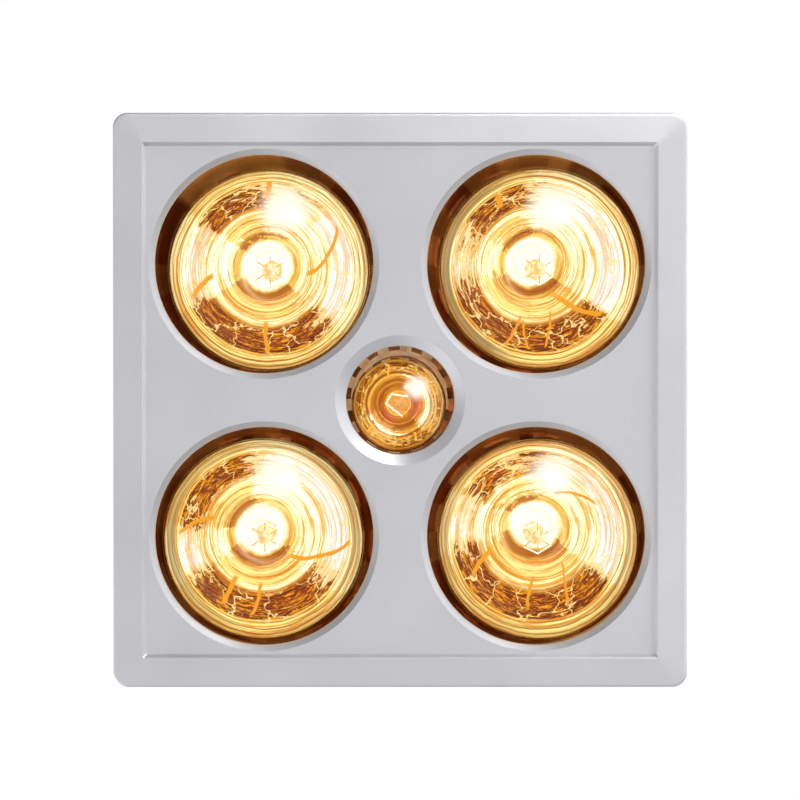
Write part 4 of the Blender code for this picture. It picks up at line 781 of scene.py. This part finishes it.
finishes = [
    (zinc, 0.0004, "housing_shell"), (foilMetal, 0.0002, "reflector_tray"), (zinc, 0.0, "scroll_casing"),
    (zinc, 0.0003, "housing_lid centre_bridge lower_bearing upper_bearing clamp_bracket_1 clamp_bracket_2"),
    (blackPlastic, 0.0, "inlet_ring impeller"), (turnedSteel, 0.0003, "rotor_shaft"),
    (laminated, 0.0004, "motor_stator"), (copperWire, 0.002, "motor_coil"), (springSteel, 0.0002, "flap_pin"),
    (greyPlastic, 0.0002, "backdraft_flap_left backdraft_flap_right"), (whitePlastic, 0.0008, "terminal_box"),
    (whitePlastic, 0.0006, "terminal_cover"), (greyPlastic, 0.0005, "terminal_block"),
    (springSteel, 0.0001, "fascia_clip_1 fascia_clip_2 fascia_clip_3 fascia_clip_4"),
    (porcelain, 0.0006, "light_lampholder lampholder_1 lampholder_2 lampholder_3 lampholder_4"),
]
for material, rounding, names in finishes:
    for name in names.split():
        nodes[name].data.materials.clear()
        nodes[name].data.materials.append(material)
        if rounding:
            roundEdges(nodes[name], rounding)
print("carried-over pieces finished")


# screws with a cross recess

facings = {"up": Matrix(), "out": Matrix.Rotation(-math.pi / 2, 4, "X"),
           "right": Matrix.Rotation(math.pi / 2, 4, "Y"), "left": Matrix.Rotation(-math.pi / 2, 4, "Y")}
lidScrews = {"radius": 0.0036, "depth": 0.004, "reach": 0.1485, "offset": 0.055}


def makeScrew(name, place, radius, depth, facing="up"):
    head, shank = radius * 0.5, radius * 0.47
    outline = [(0, -depth), (shank, -depth), (shank, 0.0001), (radius, 0.0001), (radius, head * 0.45),
               (radius * 0.82, head * 0.8), (radius * 0.5, head * 0.97), (0, head)]
    pose = facings[facing] @ Matrix.Rotation(chance.uniform(0, turn), 4, "Z")
    shape = turnedShape(outline, 32)
    shape.transform(pose)
    piece = addPiece(name, shape, [screwSteel], "housing", (), place)
    recess = bmesh.new()
    for wide, deep in ((radius * 0.94, radius * 0.2), (radius * 0.2, radius * 0.94)):
        made = bmesh.ops.create_cube(recess, size=1.0)["verts"]
        bmesh.ops.scale(recess, verts=made, vec=(wide, deep, head * 0.9))
        bmesh.ops.translate(recess, verts=made, vec=(0, 0, head))
    recess.transform(pose)
    cutter = meshObject("recess", recess)
    cutter.matrix_world = piece.matrix_world
    cut = piece.modifiers.new("recess", "BOOLEAN")
    cut.object = cutter
    cut.solver = "EXACT"
    cut.use_self = True
    bpy.context.view_layer.update()
    made = bpy.data.meshes.new_from_object(piece.evaluated_get(bpy.context.evaluated_depsgraph_get()))
    piece.modifiers.clear()
    piece.data = made
    bpy.data.objects.remove(cutter)


def makeLidScrews(radius, depth, reach, offset):
    places = ([(side * reach, along * offset) for side in (-1, 1) for along in (-1, 1)]
              + [(along * offset * 2, side * reach) for side in (-1, 1) for along in (-1, 1)])
    for number, (x, y) in enumerate(places):
        makeScrew(f"lidScrew{number + 1}", (x, y, lidTop), radius, depth)


makeLidScrews(**lidScrews)
print("lid screws ready")


# motor cover with its vents, on the lid

coverSizes = {"x": -0.025, "y": 0.005875, "base": lidTop + 0.0003, "height": 0.048, "radius": 0.046, "flange": 0.006,
              "foil": 0.0008, "shoulder": 0.007, "steps": 144, "ventLow": 0.012, "ventHigh": 0.034,
              "ventInner": 0.014, "ventOuter": 0.031, "screws": 3, "screwRing": 0.0493, "screwRadius": 0.0024,
              "screwDepth": 0.004}


def makeMotorCover(x, y, base, height, radius, flange, foil, shoulder, steps, ventLow, ventHigh, ventInner, ventOuter,
                   screws, screwRing, screwRadius, screwDepth):
    outline = [(radius + flange, foil * 0.9), (radius + 0.0012, foil), (radius + 0.0003, foil + 0.0004),
               (radius, foil + 0.0012), (radius, ventLow), (radius, ventHigh), (radius, height - shoulder)]
    for step in range(1, 9):
        angle = turn * step / 32
        outline.append((radius - shoulder * (1 - math.cos(angle)), height - shoulder * (1 - math.sin(angle))))
    outline += [(ventOuter, height), (ventInner, height), (0.002, height)]
    wall, top = 4, len(outline) - 3  # the spans of the outline that have the vents

    def isOpen(level, step):
        side = level == wall and step % 6 < 3 and 12 <= step % 72 < 60
        return side or (level == top and step % 12 < 5)

    shape = bmesh.new()
    rows = circles(shape, outline, steps)
    bridge(shape, rows, isOpen)
    shape.faces.new(rows[-1])
    piece = addPiece("motorCover", shape, [zinc], "housing", ["motor_cover"], (x, y, base))
    addWall(piece, foil, -1)
    roundEdges(piece, 0.0002, 50)
    for number in range(screws):
        angle = turn * (number / screws + 0.1)
        makeScrew(f"coverScrew{number + 1}", (x + screwRing * math.cos(angle), y + screwRing * math.sin(angle),
                                              base + foil), screwRadius, screwDepth)


# duct outlet: plate and short collar

spigotSizes = {"place": (0.0315, 0.1548, 0.1335), "half": 0.0505, "corner": 0.006, "plate": 0.0015, "outer": 0.0490,
               "bore": 0.0480, "length": 0.0195, "groove": 0.0005, "grooves": (0.0125, 0.0150), "steps": 128,
               "screw": 0.0440, "screwRadius": 0.0028, "screwDepth": 0.0015}


def makeSpigot(place, half, corner, plate, outer, bore, length, groove, grooves, steps, screw, screwRadius, screwDepth):
    shape = bmesh.new()
    squares = [squareRing(shape, half - inset, corner, height)
               for inset, height in ((0.0002, 0.0), (0.0, 0.0003), (0.0, plate - 0.0004), (0.0004, plate))]
    bridge(shape, squares)
    outline = [(outer + 0.0009, plate), (outer + 0.0002, plate + 0.0003), (outer, plate + 0.0009)]
    for height in grooves:
        outline += [(outer, height), (outer - groove, height + 0.0003), (outer - groove, height + 0.0009),
                    (outer, height + 0.0012)]
    outline += [(outer, length - 0.0005), (outer - 0.0003, length), (bore + 0.0002, length), (bore, length - 0.0004),
                (bore, 0.0)]
    rings = circles(shape, outline, steps)
    bridge(shape, rings)
    for square, ring in ((squares[-1], rings[0]), (squares[0], rings[-1])):
        bmesh.ops.triangle_fill(shape, edges=edgesOf(shape, square) + edgesOf(shape, ring), use_beauty=True)
    shape.transform(facings["out"])
    addPiece("ductSpigot", shape, [greyPlastic], "housing", ["duct_spigot"], place, smooth=30)
    x, y, z = place
    for number, (side, high) in enumerate([(-1, -1), (1, -1), (-1, 1), (1, 1)]):
        makeScrew(f"spigotScrew{number + 1}", (x + side * screw, y + plate, z + high * screw), screwRadius, screwDepth,
                  "out")


# cable gland, clamp knobs and the screws of the terminal cover

glandSizes = {"place": (0.123, 0.0, 0.1996), "bore": 0.0042, "thread": 0.0085, "nut": 0.0110, "nutLength": 0.0058,
              "top": 0.018, "inside": 0.006, "ribs": 14, "ribDepth": 0.07}
knobSizes = {"x": 0.1545, "z": 0.050, "radius": 0.0080, "low": 0.0021, "height": 0.009, "shank": 0.0020,
             "inside": 0.006, "lobes": 10, "lobeDepth": 0.12}
terminalScrews = {"places": ((0.055, -0.024, 0.2149), (0.117, 0.024, 0.2149)), "radius": 0.0028, "depth": 0.0015}


def lobedShape(outline, lobes, depth, steps=120):
    # a turned shape whose outer rings are scalloped; each outline point has its own share of the depth
    shape = turnedShape([(radius, height) for radius, height, share in outline], steps)
    shape.verts.ensure_lookup_table()
    first = 0
    for radius, height, share in outline:
        count = steps if radius > onAxis else 1
        for step in range(count):
            vertex = shape.verts[first + step]
            dip = 1 - share * depth * (0.5 - 0.5 * math.cos(turn * lobes * step / steps)) ** 2
            vertex.co.x *= dip
            vertex.co.y *= dip
        first += count
    return shape


def makeGland(place, bore, thread, nut, nutLength, top, inside, ribs, ribDepth):
    cap = [(0, nutLength, 0), (0.0094, nutLength, 0), (0.0094, nutLength + 0.0008, 0), (0.0104, nutLength + 0.0012, 1),
           (0.0104, top - 0.0050, 1), (0.0096, top - 0.0026, 1), (0.0078, top - 0.0006, 0), (0.0070, top, 0),
           (0.0058, top, 0), (0.0054, top - 0.0006, 0), (bore + 0.0003, top - 0.0012, 0), (bore, top - 0.0030, 0),
           (0, top - 0.0030, 0)]
    shape = lobedShape(cap, ribs, ribDepth)
    turnedShape([(0, -inside), (thread, -inside), (thread, nutLength - 0.0002), (0, nutLength - 0.0002)], 64, shape)
    turnedShape([(0, 0.0003), (nut - 0.0006, 0.0003), (nut, 0.0008), (nut, nutLength - 0.0006),
                 (nut - 0.0006, nutLength - 0.0001), (0, nutLength - 0.0001)], 6, shape)
    shape.transform(facings["right"])
    addPiece("cableGland", shape, [blackPlastic], "housing", ["cable_gland"], place, smooth=30)


def makeKnobs(x, z, radius, low, height, shank, inside, lobes, lobeDepth):
    high = low + height
    outline = [(0, -inside, 0), (shank, -inside, 0), (shank, low, 0), (radius * 0.72, low, 0),
               (radius * 0.94, low + 0.0006, 1), (radius, low + 0.0016, 1), (radius, low + 0.0048, 1),
               (radius * 0.93, low + 0.0058, 1), (radius * 0.66, low + 0.0064, 0.4), (radius * 0.50, low + 0.0070, 0),
               (radius * 0.46, high - 0.0006, 0), (radius * 0.38, high, 0), (0, high, 0)]
    for number, (side, facing) in enumerate(((-1, "left"), (1, "right"))):
        shape = lobedShape(outline, lobes, lobeDepth)
        shape.transform(facings[facing])
        addPiece(f"clampKnob{number + 1}", shape, [blackPlastic], "housing", [f"clamp_screw_{number + 1}"],
                 (side * x, 0, z), smooth=40)


makeMotorCover(**coverSizes)
makeSpigot(**spigotSizes)
makeGland(**glandSizes)
makeKnobs(**knobSizes)
for number, place in enumerate(terminalScrews["places"]):
    makeScrew(f"terminalScrew{number + 1}", place, terminalScrews["radius"], terminalScrews["depth"])
print("outer fittings ready")


# camera, lights and surroundings

cameraSizes = {"distance": 3.0, "tilt": math.radians(-1.2), "yaw": math.radians(0.3), "lens": 221.5,
               "aim": (0.0, 0.0, -0.0118), "shiftX": -0.0003, "shiftY": 0.0003}
studio = {"front": 0.875, "low": 0.58, "diagonal": 3.1, "level": 0.40, "up": -0.06, "least": 0.03, "floor": -3.6}


def makeCamera(distance, tilt, yaw, lens, aim, shiftX, shiftY):
    data = bpy.data.cameras.new("camera")
    data.lens, data.sensor_width, data.clip_end = lens, 36, 20
    data.shift_x, data.shift_y = shiftX, shiftY
    camera = linkObject("camera", data)
    lean = Matrix.Rotation(yaw, 4, "Y") @ Matrix.Rotation(tilt, 4, "X")
    camera.matrix_world = (Matrix.Translation(aim) @ lean @ Matrix.Translation((0, 0, -distance))
                           @ Matrix.Rotation(math.pi, 4, "X"))
    bpy.context.scene.camera = camera


def makeLight(name, power, size, place, target=(0, 0, 0), colour=(1, 1, 1)):
    data = bpy.data.lights.new(name, "AREA")
    data.energy, data.shape, data.size, data.color = power, "DISK", size, colour
    light = linkObject(name, data)
    light.location = place
    light.rotation_euler = (Vector(target) - Vector(place)).to_track_quat("-Z", "Y").to_euler()
    light.visible_glossy = light.visible_transmission = False
    return light


def makeSoftbox(name, peak, radius, place):
    # a round softbox, bright in the middle and dark at its edge
    material = bpy.data.materials.new(name)
    material.use_nodes = True
    tree = material.node_tree
    tree.nodes.clear()
    where = tree.nodes.new("ShaderNodeTexCoord").outputs["Object"]
    reach = calc(tree, "DIVIDE", vectorCalc(tree, "LENGTH", where), radius)
    fall = calc(tree, "POWER", calc(tree, "SUBTRACT", 1.0, reach, clamp=True), 1.8)
    behind = newNode(tree, "ShaderNodeNewGeometry").outputs["Backfacing"]
    power = times(tree, times(tree, fall, peak), calc(tree, "SUBTRACT", 1.0, behind))
    glow = newNode(tree, "ShaderNodeEmission", {"Color": (1, 0.99, 0.97), "Strength": power})
    newNode(tree, "ShaderNodeOutputMaterial", {"Surface": glow.outputs[0]})
    shape = bmesh.new()
    bmesh.ops.create_circle(shape, cap_ends=True, segments=64, radius=radius)
    box = meshObject(name, shape, [material])
    box.location = place
    box.rotation_euler = (-Vector(place)).to_track_quat("Z", "Y").to_euler()
    box.visible_camera = box.visible_shadow = box.visible_diffuse = False


def makeWorld(s):
    # the studio round the heater: bright to the photo's upper right and lower left, dark between, and white behind it
    world = bpy.data.worlds.new("studio")
    bpy.context.scene.world = world
    world.use_nodes = True
    tree = world.node_tree
    tree.nodes.clear()
    side, down, toward = axesOf(tree, tree.nodes.new("ShaderNodeTexCoord").outputs["Generated"])
    up = times(tree, down, -1.0)
    wide = timesPlus(tree, toward, times(tree, toward, -1.0), 1.0001)
    diagonal = calc(tree, "DIVIDE", times(tree, side, up), wide)
    squares = calc(tree, "SUBTRACT", calc(tree, "POWER", side, 2.0), calc(tree, "POWER", up, 2.0))
    low = timesPlus(tree, diagonal, s["diagonal"], s["low"])
    low = timesPlus(tree, calc(tree, "DIVIDE", squares, wide), s["level"], low)
    low = calc(tree, "MAXIMUM", timesPlus(tree, up, s["up"], low), s["least"])
    steep = between(tree, toward, -0.80, -0.14)
    glow = newNode(tree, "ShaderNodeMapRange", {0: steep, 3: s["front"], 4: low}).outputs[0]
    soft = newNode(tree, "ShaderNodeBackground", {"Color": (0.97, 0.975, 1.0), "Strength": glow})
    white = newNode(tree, "ShaderNodeBackground", {"Color": (1, 1, 1), "Strength": 1.0})
    rays = tree.nodes.new("ShaderNodeLightPath").outputs
    seen = calc(tree, "MAXIMUM", rays["Is Camera Ray"], rays["Is Transmission Ray"])
    both = newNode(tree, "ShaderNodeMixShader", {0: seen, 1: soft.outputs[0], 2: white.outputs[0]})
    newNode(tree, "ShaderNodeOutputWorld", {"Surface": both.outputs[0]})


def makeFloor(height):
    shape = bmesh.new()
    bmesh.ops.create_grid(shape, x_segments=1, y_segments=1, size=6.0)
    paint = sheetFinish("floorPaint", (0.86, 0.86, 0.86), (0.90, 0.90, 0.90), 0.0, 0.7, 40.0, 0.02, 2.0)
    floor = meshObject("floor", shape, [paint])
    floor.location = (0, 0, height)
    floor.visible_diffuse = floor.visible_glossy = floor.visible_shadow = False


bpy.context.scene.view_settings.view_transform = "Standard"
makeCamera(**cameraSizes)
makeSoftbox("keySoftbox", 34.0, 0.40, (0.50, -1.20, -1.08))
makeLight("upperRightLight", 8.0, 0.8, (1.5, -1.5, -0.42))
makeLight("lowerLeftLight", 10.0, 0.8, (-1.45, 1.45, -0.50))
makeLight("rightLight", 10.0, 0.5, (0.95, 0.0, -0.36))
makeLight("backLight", 14.0, 1.6, (0.6, 1.2, 1.8))
for number, (x, y) in enumerate([(0.055, 0.0), (-0.055, 0.0), (0.0, -0.12), (0.0, 0.12)]):
    # the lamps' own light that leaks through the slots into the housing
    leak = makeLight(f"leak{number + 1}", 0.22, 0.03, (x, y, 0.06), (x, y, 1.0), (1.0, 0.26, 0.05))
    leak.visible_camera = False
makeWorld(studio)
makeFloor(studio["floor"])
print("camera and lights ready")
